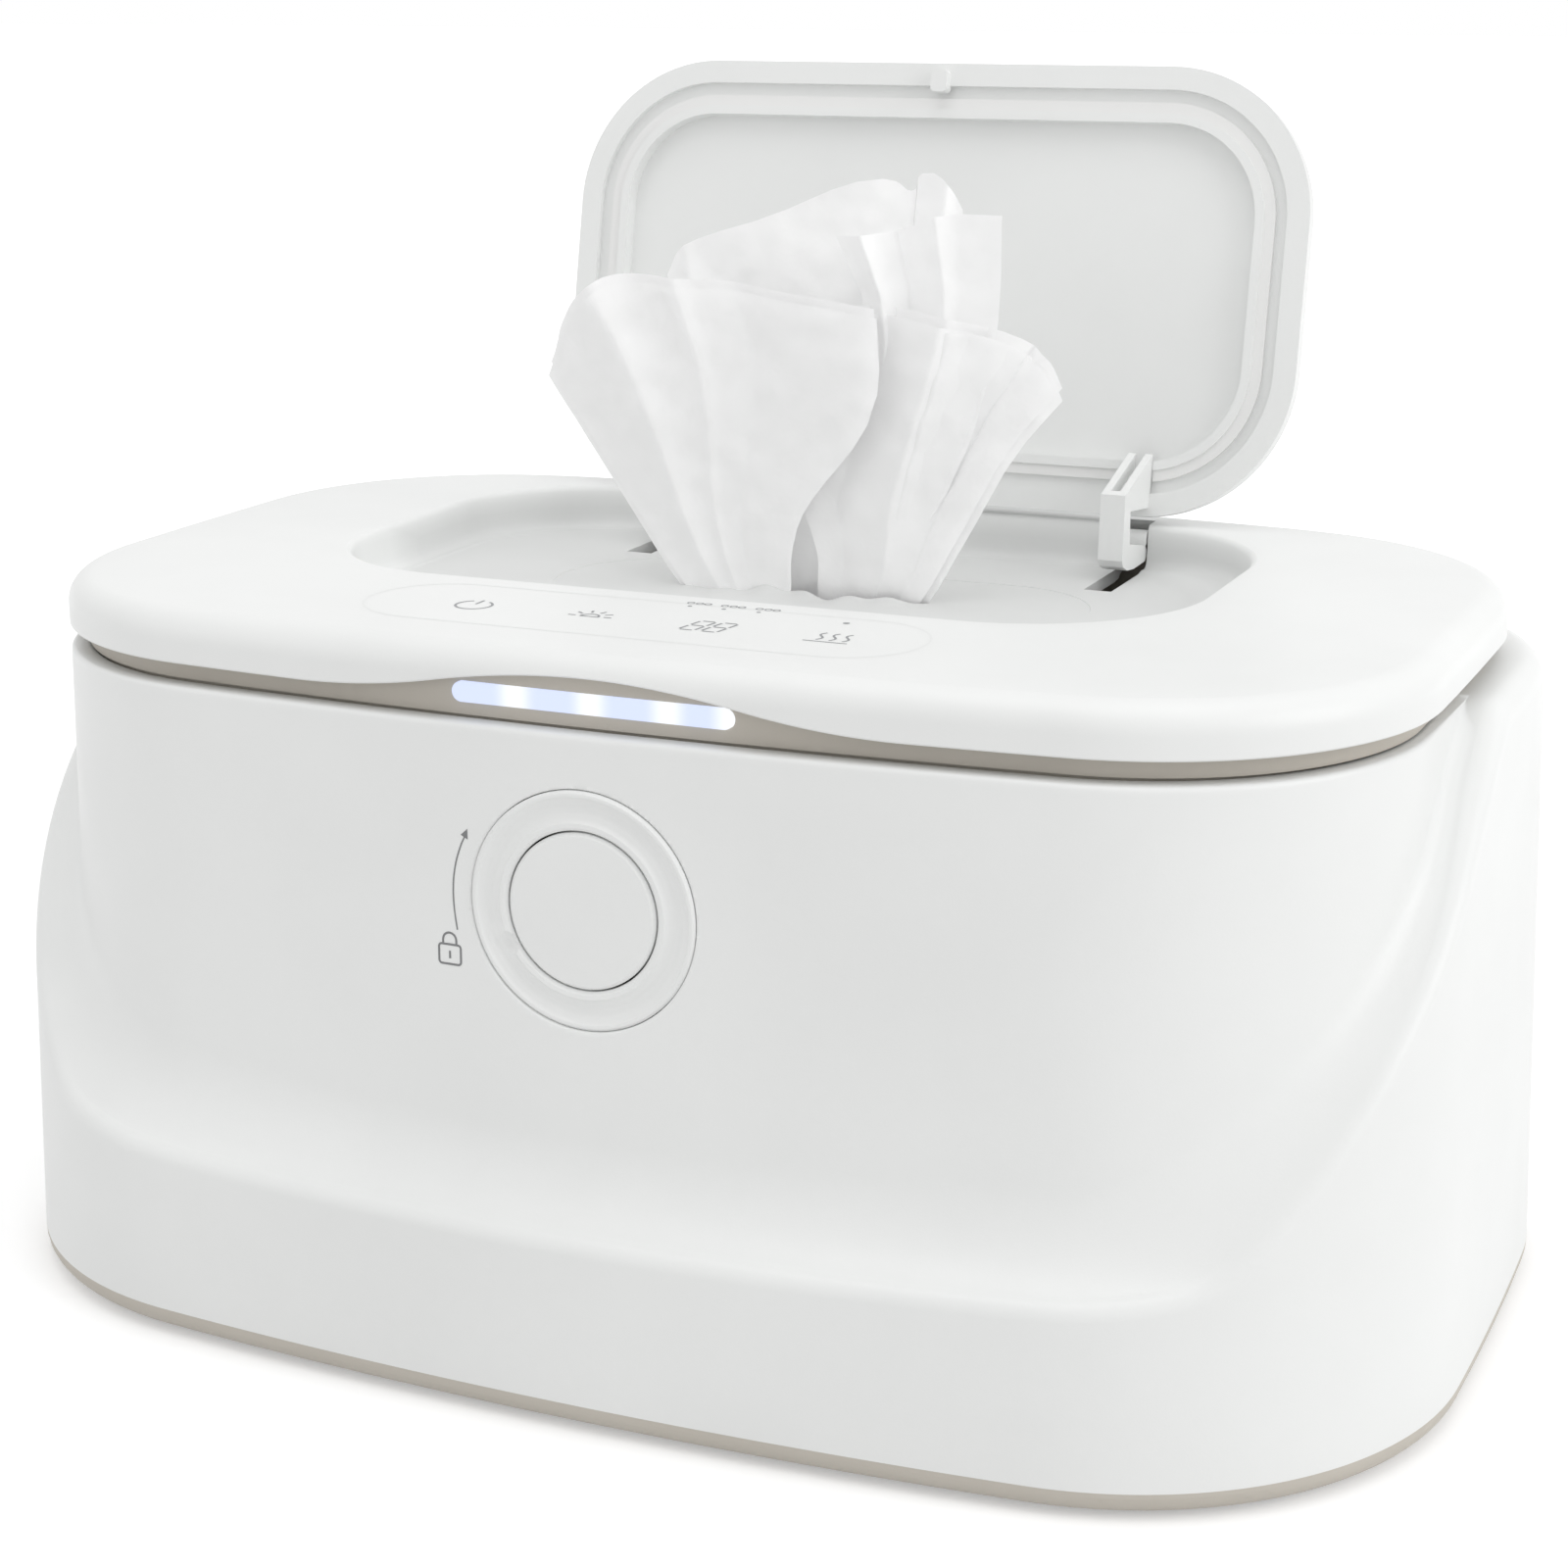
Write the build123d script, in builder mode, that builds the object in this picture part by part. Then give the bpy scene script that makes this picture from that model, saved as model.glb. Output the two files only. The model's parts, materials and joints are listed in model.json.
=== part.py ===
"""Baby wipe warmer: a heated tub for wet wipes in a scooped oval housing.

The cover lifts on a rear hinge once the lock ring is turned and the button is pressed.
A flip lid on two gooseneck arms closes the dispensing recess in the cover.
Millimetres. The origin is on the table under the middle of the housing, the front faces -Y.
"""
from build123d import *
import os
from math import cos, pi, radians, sin, sqrt, tan

os.makedirs("parts", exist_ok=True)

# ---------------------------------------------------------------- driving dimensions

# housing outline at the parting line above the base ring
body_length = 247.6
body_width = 168.8
body_end_radius = 943.0
body_side_radius = 755.0
body_corner_radius = 56.0
body_draft = 1.77  # degrees

# heights
foot_stand = 1.0  # gap between the table and the base plate
shell_bottom = 4.7
shell_top = 105.0
shell_wall = 2.4
shoulder_radius = 4.5

# front recess: the wall under the cover, and the scoop that leads into it
recess_length = 227.8
recess_width = 143.8
recess_end_radius = 1550.0
recess_side_radius = 903.0
recess_corner_radius = 45.5
recess_draft = 1.2  # degrees
crook_y = -70.8  # where the scoop's floor turns up, seen from the side
crook_z = 35.1
crook_radius = 12.0
floor_slope = 20.3  # degrees
rise_middle_y = -37.0
rise_middle_z = 76.5
rise_end_y = -4.0
rise_end_z = 104.2
cove_radius = 6.5

# rim that takes the cover, and the shelf that carries the tank
rim_length = 220.0
rim_width = 136.0
rim_wall = 2.3
shelf_width = 4.0
shelf_thickness = 2.0
flange_thickness = 2.0
flange_drop = 8.4  # flange top below the top of the shell

# tank
tank_length = 202.0
tank_width = 116.0
tank_bottom = 33.0
tank_wall = 2.0
tank_draft = 1.5  # degrees
tank_corner_radius = 38.0
tank_floor_radius = 6.0

# cover
cover_length = 230.0
cover_width = 142.4
cover_end_radius = 2012.0
cover_side_radius = 861.0
cover_corner_radius = 46.4
band_height = 3.4  # beige band that shows between shell and cover
band_gap = 0.3
cover_height = 8.0
cover_skin = 2.2
cover_edge_radius = 4.6
band_inset = 3.1  # band behind the cover's edge
band_wall = 2.0
frame_thickness = 1.5
plug_depth = 5.8  # how far the cover's frame drops into the shell
plug_clearance = 0.8
wave_half_length = 50.0
wave_height = 4.9
cover_screw_inset_x = 27.0
panel_y = -45.0  # row of touch marks
touch_board_length = 100.0
touch_board_width = 20.0
cover_screw_inset_y = 31.2

# dispensing recess in the cover
basin_length = 143.0
basin_front_y = -25.6
basin_rear_y = 58.0
basin_corner_radius = 30.0
basin_depth = 8.0
basin_wall = 1.8
basin_floor_radius = 6.0
basin_rim_radius = 1.0
mouth_length = 96.0
mouth_width = 38.0

# flip lid and its gooseneck arms
lid_length = 140.0
lid_width = 78.4
lid_corner_radius = 26.4
lid_thickness = 5.0
lid_skin = 1.8
lid_edge_radius = 2.4
lid_bead_inset = 9.7
lid_bead_width = 1.6
lid_step_inset = 4.0
lid_open_angle = 102.0
lid_rear_gap = 3.4  # closed lid to the basin's rear wall
arm_x = 43.6
arm_width = 4.4
arm_slot_width = 5.8
arm_slot_front_y = 36.5
arm_toe_reach = 15.0  # from the pivot to the arm's foremost corner
arm_elbow_reach = 14.0
pivot_behind_wall = 0.6
pivot_below_top = 2.9
flip_pin_radius = 0.8
flip_boss_radius = 1.8
pin_running_clearance = 0.05

# rear hinge of the cover
hinge_y = 75.8
hinge_z = 108.3
hinge_x = 48.0
hinge_pin_radius = 1.25
hinge_boss_radius = 3.0
knuckle_width = 7.0
lug_width = 6.0
knuckle_gap = 0.4

# lock ring and push button in the front wall
knob_z = 78.35
ring_radius = 18.5
button_radius = 12.1
ring_gap = 0.3
ring_depth = 4.5
ring_flange_radius = 20.2
ring_flange_thickness = 1.2
ring_flange_depth = 3.2
pointer_radius = 14.1
pointer_angle = 207.7  # degrees, seen from the front
button_travel = 2.5
button_skin = 1.4
button_skirt = 2.0
stem_radius = 2.2
bolt_thickness = 1.7
carrier_thickness = 1.6
spring_wire = 0.5
spring_radius = 4.2
spring_turns = 5

# catch that hangs from the cover
catch_width = 12.0
catch_thickness = 1.6
catch_drop = 19.0  # below the top of the shell
nose_width = 6.0
nose_height = 1.8
nose_clearance = 0.6
catch_foot = 2.4  # web of the catch below its window

# light bar and boards
light_length = 46.0
light_height = 3.1
light_centre_z = 108.85
board_thickness = 1.2

# heater stack under the tank
heater_inset = 12.5  # from the tank's outline to the heater
heater_thickness = 1.5
film_thickness = 0.6
pad_thickness = 6.0

# base
base_floor = 2.0
base_edge_radius = 3.0
base_rib_thickness = 2.4
foot_radius = 8.0
foot_pocket = 1.2
foot_inset_x = 35.8  # from the end of the housing to the middle of a foot
foot_inset_y = 34.4
screw_bearing = 46.5  # of a base screw, seen from its corner arc's centre
boss_bite = 0.9  # how far a base screw's boss runs into the wall
boss_radius = 4.5
boss_height = 22.0
screw_radius = 1.5
screw_head_radius = 2.8
screw_head_height = 2.0
screw_length = 12.0

# supply socket in the rear wall, and its lead
socket_x = -34.0
socket_z = 15.0
socket_width = 7.6
socket_height = 2.9
socket_depth = 6.2
main_board_length = 60.0
main_board_width = 42.0
plug_shell_bevel = 0.5
plug_shell_mouth = 0.8
plug_shell_width = 6.9
plug_shell_height = 1.8
plug_shell_length = 6.2
plug_grip_length = 17.5
plug_grip_width = 11.2
plug_grip_height = 7.4
cable_radius = 1.5
relief_radius = 2.4
relief_length = 11.0
usb_a_grip_length = 17.0
usb_a_grip_width = 14.4
usb_a_grip_height = 7.6
usb_a_shell_length = 12.0
usb_a_window = 2.4
usb_a_shell_width = 12.0
usb_a_shell_height = 4.5
coil_x = -78.0
coil_y = 122.0
coil_radius = 18.0
coil_section = 9.0
tie_width = 6.0
tie_thickness = 0.6
usb_a_beside = 40.0  # from the coil's middle to the plug

# wipes
stack_gap = 9.0  # round the stack, inside the tank's outline
stack_height = 46.0
stack_corner_radius = 32.0
tuft_height = 75.0
# share of the height, length, thickness, x and y behind the slot's middle
tuft_sections = [(0.0, 35.0, 9.2, -2.0, -1.0), (0.52, 92.0, 20.0, -4.6, -1.6), (1.0, 54.0, 14.0, 2.0, 2.0)]

clearance = 0.3  # between pieces that only sit beside each other

# ---------------------------------------------------------------- derived sizes

body_outline = (body_length, body_width, body_end_radius, body_side_radius, body_corner_radius)
recess_outline = (recess_length, recess_width, recess_end_radius, recess_side_radius, recess_corner_radius)
cover_outline = (cover_length, cover_width, cover_end_radius, cover_side_radius, cover_corner_radius)
rim_inset = (recess_width - rim_width) / 2
foot_x = body_length / 2 - foot_inset_x
foot_y = body_width / 2 - foot_inset_y
stack_length = tank_length - 2 * stack_gap
stack_width = tank_width - 2 * stack_gap
heater_length = tank_length - 2 * heater_inset
heater_width = tank_width - 2 * heater_inset
flange_z = shell_top - flange_drop
cover_bottom = shell_top + band_height
cover_top = cover_bottom + cover_height
frame_bottom = shell_top + band_gap
plug_bottom = shell_top - plug_depth + band_gap
skin_z = cover_top - cover_skin
basin_floor_z = cover_top - basin_depth
basin_width = basin_rear_y - basin_front_y
basin_y = (basin_rear_y + basin_front_y) / 2
pivot_y = basin_rear_y + pivot_behind_wall
pivot_z = cover_top - pivot_below_top
wall_y = -(recess_width / 2 + (shell_top - knob_z) * tan(radians(recess_draft)))  # front wall at the knob
knob_face_y = wall_y - 0.1
nose_z = shell_top - catch_drop + nose_height / 2 + nose_clearance + catch_foot


def inset(outline, amount):
    """The same oval, drawn in by an amount all round."""
    length, width, end_radius, side_radius, corner_radius = outline
    return (
        length - 2 * amount,
        width - 2 * amount,
        end_radius - amount,
        side_radius - amount,
        corner_radius - amount,
    )


def draw_oval(sketch, outline):
    """Two long side arcs and two end arcs that meet in rounded corners."""
    length, width, end_radius, side_radius, corner_radius = outline
    with Locations((0, width / 2 - side_radius)):
        Circle(side_radius)
    with Locations((0, side_radius - width / 2)):
        Circle(side_radius, mode=Mode.INTERSECT)
    with Locations((length / 2 - end_radius, 0)):
        Circle(end_radius, mode=Mode.INTERSECT)
    with Locations((end_radius - length / 2, 0)):
        Circle(end_radius, mode=Mode.INTERSECT)
    fillet(sketch.vertices(), corner_radius)


def corner_spot(outline, bearing, depth):
    """Point inside the outline's corner arc, at a bearing from the arc's centre and a depth from the arc."""
    length, width, end_radius, side_radius, corner_radius = outline
    side_centre = Vector(0, width / 2 - side_radius)
    end_centre = Vector(length / 2 - end_radius, 0)
    side_reach = side_radius - corner_radius
    end_reach = end_radius - corner_radius
    span = side_centre - end_centre
    along = (end_reach**2 - side_reach**2 + span.length**2) / (2 * span.length)
    unit = span.normalized()
    rise = sqrt(end_reach**2 - along**2)
    centre = end_centre + unit * along + Vector(-unit.Y, unit.X) * rise
    if centre.X < 0 or centre.Y < 0:
        centre = end_centre + unit * along - Vector(-unit.Y, unit.X) * rise
    return centre + Vector(cos(radians(bearing)), sin(radians(bearing))) * (corner_radius - depth)


def oval_prism(outline, bottom, top, draft=0.0):
    """Upright oval block that leans in by its draft."""
    with BuildPart() as prism:
        with BuildSketch(Plane.XY.offset(bottom)) as section:
            draw_oval(section, outline)
        extrude(amount=top - bottom, taper=draft)
    return prism.part


def slab(length, width, radius, bottom, top, x=0.0, y=0.0, draft=0.0):
    """Upright block with a rounded rectangular outline."""
    with BuildPart() as block:
        with BuildSketch(Plane.XY.offset(bottom)):
            with Locations((x, y)):
                RectangleRounded(length, width, radius)
        extrude(amount=top - bottom, taper=draft)
    return block.part


def box(low, high):
    """Plain block between two corners."""
    with BuildPart() as block:
        with Locations([(low[i] + high[i]) / 2 for i in range(3)]):
            Box(*[high[i] - low[i] for i in range(3)])
    return block.part


def rod(radius, start, end):
    """Round bar from one point to another."""
    along = Vector(*end) - Vector(*start)
    with BuildPart() as bar:
        with BuildSketch(Plane(origin=start, z_dir=along)):
            Circle(radius)
        extrude(amount=along.length)
    return bar.part


def screw(head_point, direction, radius, head_radius, head_height, length):
    """Pan head screw: the head's flat side is at head_point and the shank follows direction."""
    with BuildPart() as body:
        with BuildSketch(Plane(origin=head_point, z_dir=direction)):
            Circle(radius)
        extrude(amount=length)
        with BuildSketch(Plane(origin=head_point, z_dir=direction)):
            Circle(head_radius)
        extrude(amount=-head_height)
        fillet(body.edges().sort_by(Axis(head_point, direction))[0], head_height * 0.45)
        with BuildSketch(Plane(origin=body.faces().sort_by(Axis(head_point, direction))[0].center(), z_dir=direction)):
            Rectangle(head_radius * 1.1, head_radius * 0.3)
            Rectangle(head_radius * 0.3, head_radius * 1.1)
        extrude(amount=head_height * 0.5, mode=Mode.SUBTRACT)
    return body.part


def write(piece, name):
    """Label one piece and write its STEP file."""
    piece.label = name
    export_step(piece, f"parts/{name}.step")


# ---------------------------------------------------------------- housing


def scooped_block(wall, cove):
    """Drafted oval block with the front scooped out, drawn in by a wall all round."""
    with BuildPart() as block:
        with BuildSketch(Plane.XY.offset(shell_bottom)) as section:
            draw_oval(section, inset(body_outline, wall))
        extrude(amount=shell_top - wall - shell_bottom, taper=body_draft)
        fillet(block.edges().group_by(Axis.Z)[-1], shoulder_radius - wall * 0.8)

    core_bottom = crook_z / 2
    core_top = shell_top + 20
    spread = (shell_top - core_bottom) * tan(radians(recess_draft))
    core = oval_prism(inset(recess_outline, wall - spread), core_bottom, core_top, recess_draft)

    reach = body_width / 2 + 15
    crook = Vector(crook_y, crook_z)
    floor_end = crook - Vector(cos(radians(floor_slope)), sin(radians(floor_slope))) * (reach + crook_y)
    with BuildPart() as scoop:
        with BuildSketch(Plane.YZ) as side:
            with BuildLine():
                floor = Line(floor_end, crook)
                rise = ThreePointArc(floor @ 1, (rise_middle_y, rise_middle_z), (rise_end_y, rise_end_z))
                run_out = Line(rise @ 1, rise @ 1 + (rise % 1) * 8)
                Polyline(run_out @ 1, (rise_end_y + 12, core_top - 5), (floor_end.X, core_top - 5), floor @ 0)
            make_face()
            fillet(side.vertices().sort_by_distance((0, crook_y, crook_z))[0], crook_radius)
            if wall:
                offset(amount=wall)
        extrude(amount=body_length / 2 + 20, both=True)
        add(core, mode=Mode.SUBTRACT)
        if cove:
            underside = scoop.faces().filter_by(lambda f: f.normal_at().Z < -0.1)
            inner = underside.edges().filter_by(
                lambda e: abs(e.center().X) < recess_length / 2 + 5 and e.center().Y > -recess_width / 2 - 5
            )
            fillet(inner.filter_by(GeomType.LINE, reverse=True), cove)

    with BuildPart() as form:
        add(block.part)
        add(scoop.part, mode=Mode.SUBTRACT)
    return form.part


shell_outside = scooped_block(0, cove_radius)
shell_inside = scooped_block(shell_wall, 0)
rim_outline = inset(recess_outline, rim_inset)
collar_bottom = flange_z - flange_thickness - shelf_thickness
collar = oval_prism(inset(rim_outline, -rim_wall), collar_bottom, shell_top)
rim_hole = oval_prism(rim_outline, flange_z - flange_thickness, shell_top + 5)
shelf_hole = oval_prism(inset(rim_outline, shelf_width), collar_bottom - 1, shell_top)
screw_spot = corner_spot(body_outline, screw_bearing, shell_wall + boss_radius - boss_bite)
screw_places = [(sx * screw_spot.X, sy * screw_spot.Y) for sx in (-1, 1) for sy in (-1, 1)]
lug_offset = (knuckle_width + lug_width) / 2 + knuckle_gap
lug_places = [side * hinge_x + step * lug_offset for side in (-1, 1) for step in (-1, 1)]
lug_foot_z = shell_top - shell_wall + 0.1
carrier_screw_x = ring_flange_radius + 4.5

knob_plane = Plane(origin=(0, knob_face_y, knob_z), x_dir=(1, 0, 0), z_dir=(0, -1, 0))
knob_section = Plane(origin=(0, knob_face_y, knob_z), x_dir=(1, 0, 0), z_dir=(0, 0, 1))
knob_axis = Axis((0, knob_face_y, knob_z), (0, 1, 0))
wall_inner_y = wall_y + shell_wall
carrier_y = knob_face_y + ring_depth + clearance

with BuildPart() as outer_shell:
    add(shell_outside)
    add(shell_inside, mode=Mode.SUBTRACT)
    add(collar)
    # the collar stays inside the outer skin
    add(shell_outside, mode=Mode.INTERSECT)
    add(rim_hole, mode=Mode.SUBTRACT)
    add(shelf_hole, mode=Mode.SUBTRACT)
    # screw bosses for the base
    with BuildSketch(Plane.XY.offset(shell_bottom + 1)):
        with Locations(*screw_places):
            Circle(boss_radius)
    extrude(amount=boss_height)
    with BuildSketch(Plane.XY.offset(shell_bottom + 1)):
        with Locations(*screw_places):
            Circle(screw_radius)
    extrude(amount=screw_length, mode=Mode.SUBTRACT)
    # hinge lugs on the rear ledge
    for lug_x in lug_places:
        with BuildSketch(Plane.YZ.offset(lug_x - lug_width / 2)):
            with Locations((hinge_y, hinge_z)):
                Circle(hinge_boss_radius)
            with Locations((hinge_y, (hinge_z + lug_foot_z) / 2)):
                Rectangle(2 * hinge_boss_radius, hinge_z - lug_foot_z)
        extrude(amount=lug_width)
    with BuildSketch(Plane.YZ.offset(-body_length / 2)):
        with Locations((hinge_y, hinge_z)):
            Circle(hinge_pin_radius)
    extrude(amount=body_length, mode=Mode.SUBTRACT)
    # window for the lock ring
    with BuildSketch(knob_plane.offset(2)):
        Circle(ring_radius + ring_gap)
    extrude(amount=-12, mode=Mode.SUBTRACT)
    # room behind the wall for the ring's flange
    with BuildSketch(knob_plane.offset(clearance - ring_flange_depth)):
        Circle(ring_flange_radius + ring_gap)
    extrude(amount=-8, mode=Mode.SUBTRACT)
    # posts that carry the ring's carrier
    with BuildSketch(Plane.XZ.offset(-carrier_y)):
        with Locations((carrier_screw_x, knob_z), (-carrier_screw_x, knob_z)):
            Circle(3.2)
    extrude(amount=carrier_y - wall_y - 1.0)
    with BuildSketch(Plane.XZ.offset(-carrier_y)):
        with Locations((carrier_screw_x, knob_z), (-carrier_screw_x, knob_z)):
            Circle(1.0)
    extrude(amount=4.0, mode=Mode.SUBTRACT)
    # notch in the shelf for the catch
    with Locations((0, -rim_width / 2 + 4.5, (collar_bottom + flange_z) / 2 - 2)):
        Box(catch_width + 3, 9, 12, mode=Mode.SUBTRACT)
    # opening for the supply plug
    with BuildSketch(Plane.XZ.offset(-body_width / 2 + 5)):
        with Locations((socket_x, socket_z)):
            SlotOverall(socket_width + 1.2, socket_height + 1.0)
    extrude(amount=-10, mode=Mode.SUBTRACT)
write(outer_shell.part, "outer_shell")

base_inside = inset(body_outline, shell_wall + clearance)
base_block = oval_prism(inset(body_outline, 0), foot_stand, shell_bottom)
base_hollow = oval_prism(inset(body_outline, shell_wall + 3.6), foot_stand + base_floor, shell_bottom + 10)
base_lip = oval_prism(inset(body_outline, shell_wall + 0.6), shell_bottom, shell_bottom + 4)
pad_top = tank_bottom - heater_thickness - film_thickness
pad_bottom = pad_top - pad_thickness
main_board_x = socket_x + 14
main_board_z = socket_z - socket_height / 2
# inner face of the rear wall at the socket
rear_inner_y = (
    body_width / 2
    - shell_wall
    - (socket_z - shell_bottom) * tan(radians(body_draft))
    - socket_x**2 / (2 * body_side_radius)
)
socket_mouth_y = rear_inner_y - clearance
main_board_y = socket_mouth_y - 1.5 - main_board_width / 2
board_posts = [
    (main_board_x + sx * (main_board_length / 2 - 4), main_board_y + sy * (main_board_width / 2 - 6))
    for sx in (-1, 1)
    for sy in (-1, 1)
]
with BuildPart() as base_plate:
    add(base_block)
    fillet(base_plate.edges().group_by(Axis.Z)[0], base_edge_radius)
    add(base_lip)
    add(base_hollow, mode=Mode.SUBTRACT)
    with BuildSketch(Plane.XY.offset(foot_stand)):
        with Locations(*screw_places):
            Circle(boss_radius - boss_bite - clearance)
    extrude(amount=shell_bottom + 1 - foot_stand)
    with BuildSketch(Plane.XY.offset(shell_bottom + 1)):
        with Locations(*screw_places):
            Circle(boss_radius + clearance)
    extrude(amount=10, mode=Mode.SUBTRACT)
    with Locations(*[(x, y, foot_stand) for x, y in screw_places]):
        Cylinder(
            screw_head_radius + 0.3,
            screw_head_height + 0.4,
            align=(Align.CENTER, Align.CENTER, Align.MIN),
            mode=Mode.SUBTRACT,
        )
        Cylinder(screw_radius + 0.1, 20, mode=Mode.SUBTRACT)
    # ribs that hold the insulation pad up
    for side in (-1, 1):
        with Locations((side * heater_length * 0.34, -8, (foot_stand + base_floor + pad_bottom) / 2)):
            Box(base_rib_thickness, heater_width * 0.65, pad_bottom - foot_stand - base_floor)
    # posts for the main board
    with BuildSketch(Plane.XY.offset(foot_stand + base_floor / 2)):
        with Locations(*board_posts):
            Circle(3)
    extrude(amount=main_board_z - 1.6 - foot_stand - base_floor / 2)
    with BuildSketch(Plane.XY.offset(main_board_z - 1.6)):
        with Locations(*board_posts):
            Circle(1.0)
    extrude(amount=-6, mode=Mode.SUBTRACT)
    with Locations(*[(sx * foot_x, sy * foot_y, foot_stand) for sx in (-1, 1) for sy in (-1, 1)]):
        Cylinder(
            foot_radius + 0.1, foot_pocket, align=(Align.CENTER, Align.CENTER, Align.MIN), mode=Mode.SUBTRACT
        )
write(base_plate.part, "base_plate")

with BuildPart() as rubber_feet:
    with Locations(*[(sx * foot_x, sy * foot_y, 0) for sx in (-1, 1) for sy in (-1, 1)]):
        Cylinder(foot_radius, foot_stand + foot_pocket, align=(Align.CENTER, Align.CENTER, Align.MIN))
    fillet(rubber_feet.edges().group_by(Axis.Z)[0], 0.5)
write(rubber_feet.part, "rubber_feet")

base_screw_list = [
    screw(
        (x, y, foot_stand + screw_head_height + 0.4),
        (0, 0, 1),
        screw_radius,
        screw_head_radius,
        screw_head_height,
        screw_length,
    )
    for x, y in screw_places
]
with BuildPart() as base_screws:
    add(base_screw_list)
write(base_screws.part, "base_screws")

# ---------------------------------------------------------------- tank and heater

tank_outline = (tank_length, tank_width, 1500.0, 900.0, tank_corner_radius)
tank_height = flange_z - tank_bottom
tank_spread = tank_height * tan(radians(tank_draft))
tank_outside = oval_prism(inset(tank_outline, tank_spread), tank_bottom, flange_z, -tank_draft)
tank_inside = oval_prism(
    inset(tank_outline, tank_spread + tank_wall), tank_bottom + tank_wall, flange_z + 1, -tank_draft
)
flange = oval_prism(inset(rim_outline, clearance), flange_z - flange_thickness, flange_z)
with BuildPart() as tank_cavity:
    add(tank_inside)
    fillet(tank_cavity.edges().group_by(Axis.Z)[0], tank_floor_radius)
with BuildPart() as inner_tank:
    add(tank_outside)
    fillet(inner_tank.edges().group_by(Axis.Z)[0], tank_floor_radius + tank_wall)
    add(flange)
    add(tank_cavity.part, mode=Mode.SUBTRACT)
    with Locations((0, -rim_width / 2 + 3.2, flange_z)):
        Box(catch_width + 2, 6.4, 12, mode=Mode.SUBTRACT)
write(inner_tank.part, "inner_tank")

heater_z = tank_bottom - heater_thickness
heater_block = slab(heater_length, heater_width, 20, heater_z, tank_bottom)
with BuildPart() as heater_plate:
    add(heater_block)
    with Locations((0, 0, heater_z + 0.4)):
        with GridLocations(heater_length / 4, 0, 4, 1):
            Cylinder(4, 0.8, mode=Mode.SUBTRACT)
write(heater_plate.part, "heater_plate")

film_block = slab(heater_length - 10, heater_width - 10, 16, pad_top, heater_z)
with BuildPart() as heater_film:
    add(film_block)
    with Locations((0, 0, (pad_top + heater_z) / 2)):
        with GridLocations(0, (heater_width - 10) / 7, 1, 6):
            Box(heater_length - 50, 3, film_thickness * 2, mode=Mode.SUBTRACT)
write(heater_film.part, "heater_film")

pad_block = slab(heater_length + 4, heater_width + 4, 20, pad_bottom, pad_top)
sensor_place = (heater_length / 2 - 20, heater_width / 2 - 12)
with BuildPart() as insulation_pad:
    add(pad_block)
    with Locations((sensor_place[0], sensor_place[1], pad_bottom)):
        Box(16, 10, pad_thickness * 3, mode=Mode.SUBTRACT)
write(insulation_pad.part, "insulation_pad")

with BuildPart() as temperature_sensor:
    with Locations((sensor_place[0], sensor_place[1], pad_top - 1.2)):
        Box(10, 5, 2.4)
    with Locations((sensor_place[0] + 5.5, sensor_place[1], pad_top - 1.6)):
        Cylinder(1.2, 3.0, rotation=(0, 90, 0))
    fillet(temperature_sensor.edges().filter_by(Axis.Z), 0.6)
write(temperature_sensor.part, "temperature_sensor")

# ---------------------------------------------------------------- main board and supply socket

with BuildPart() as main_board:
    with Locations((main_board_x, main_board_y, main_board_z - 0.8)):
        Box(main_board_length, main_board_width, 1.6)
    with Locations((main_board_x - 10, main_board_y - 8, main_board_z + 0.6)):
        Box(9, 9, 1.2)
    with Locations((main_board_x + 6, main_board_y - 4, main_board_z + 1.5)):
        Box(7, 7, 3)
    with Locations((main_board_x + 20, main_board_y + 2, main_board_z + 3.5)):
        Cylinder(3.2, 7)
    with Locations((main_board_x + 14, main_board_y - 14, main_board_z + 2)):
        Box(8, 5, 4)
    with Locations(*[(x, y, main_board_z) for x, y in board_posts]):
        Cylinder(1.2, 6, mode=Mode.SUBTRACT)
write(main_board.part, "main_board")

board_screw_list = [
    screw((x, y, main_board_z), (0, 0, -1), 1.0, 2.0, 1.3, 5.0) for x, y in board_posts
]
with BuildPart() as board_screws:
    add(board_screw_list)
write(board_screws.part, "board_screws")

with BuildPart() as usb_socket:
    with Locations((socket_x, socket_mouth_y - socket_depth / 2, socket_z)):
        Box(socket_width, socket_depth, socket_height)
    fillet(usb_socket.edges().filter_by(Axis.Y), 0.6)
    with Locations((socket_x, socket_mouth_y - socket_depth / 2 + 0.5, socket_z)):
        Box(plug_shell_width + 0.1, socket_depth, plug_shell_height + 0.1, mode=Mode.SUBTRACT)
write(usb_socket.part, "usb_socket")

# ---------------------------------------------------------------- lock ring and push button

with BuildPart() as lock_ring:
    with BuildSketch(knob_section):
        with BuildLine():
            face = Polyline(
                (button_radius + ring_gap, ring_depth), (button_radius + ring_gap, 0.5), (button_radius + 0.8, 0.0)
            )
            land = Line(face @ 1, (button_radius + 1.5, 0.0))
            dish = ThreePointArc(
                land @ 1, ((button_radius + ring_radius) / 2 + 0.5, 0.8), (ring_radius - 0.9, 0.0)
            )
            Polyline(
                dish @ 1,
                (ring_radius - 0.4, 0.0),
                (ring_radius, 0.4),
                (ring_radius, ring_flange_depth),
                (ring_flange_radius, ring_flange_depth),
                (ring_flange_radius, ring_flange_depth + ring_flange_thickness),
                (ring_radius, ring_flange_depth + ring_flange_thickness),
                (ring_radius - 0.6, ring_depth),
                face @ 0,
            )
        make_face()
    revolve(axis=knob_axis)
    with Locations(
        (
            pointer_radius * cos(radians(pointer_angle)),
            knob_face_y - 1.1,
            knob_z + pointer_radius * sin(radians(pointer_angle)),
        )
    ):
        Sphere(2.3, mode=Mode.SUBTRACT)
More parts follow.
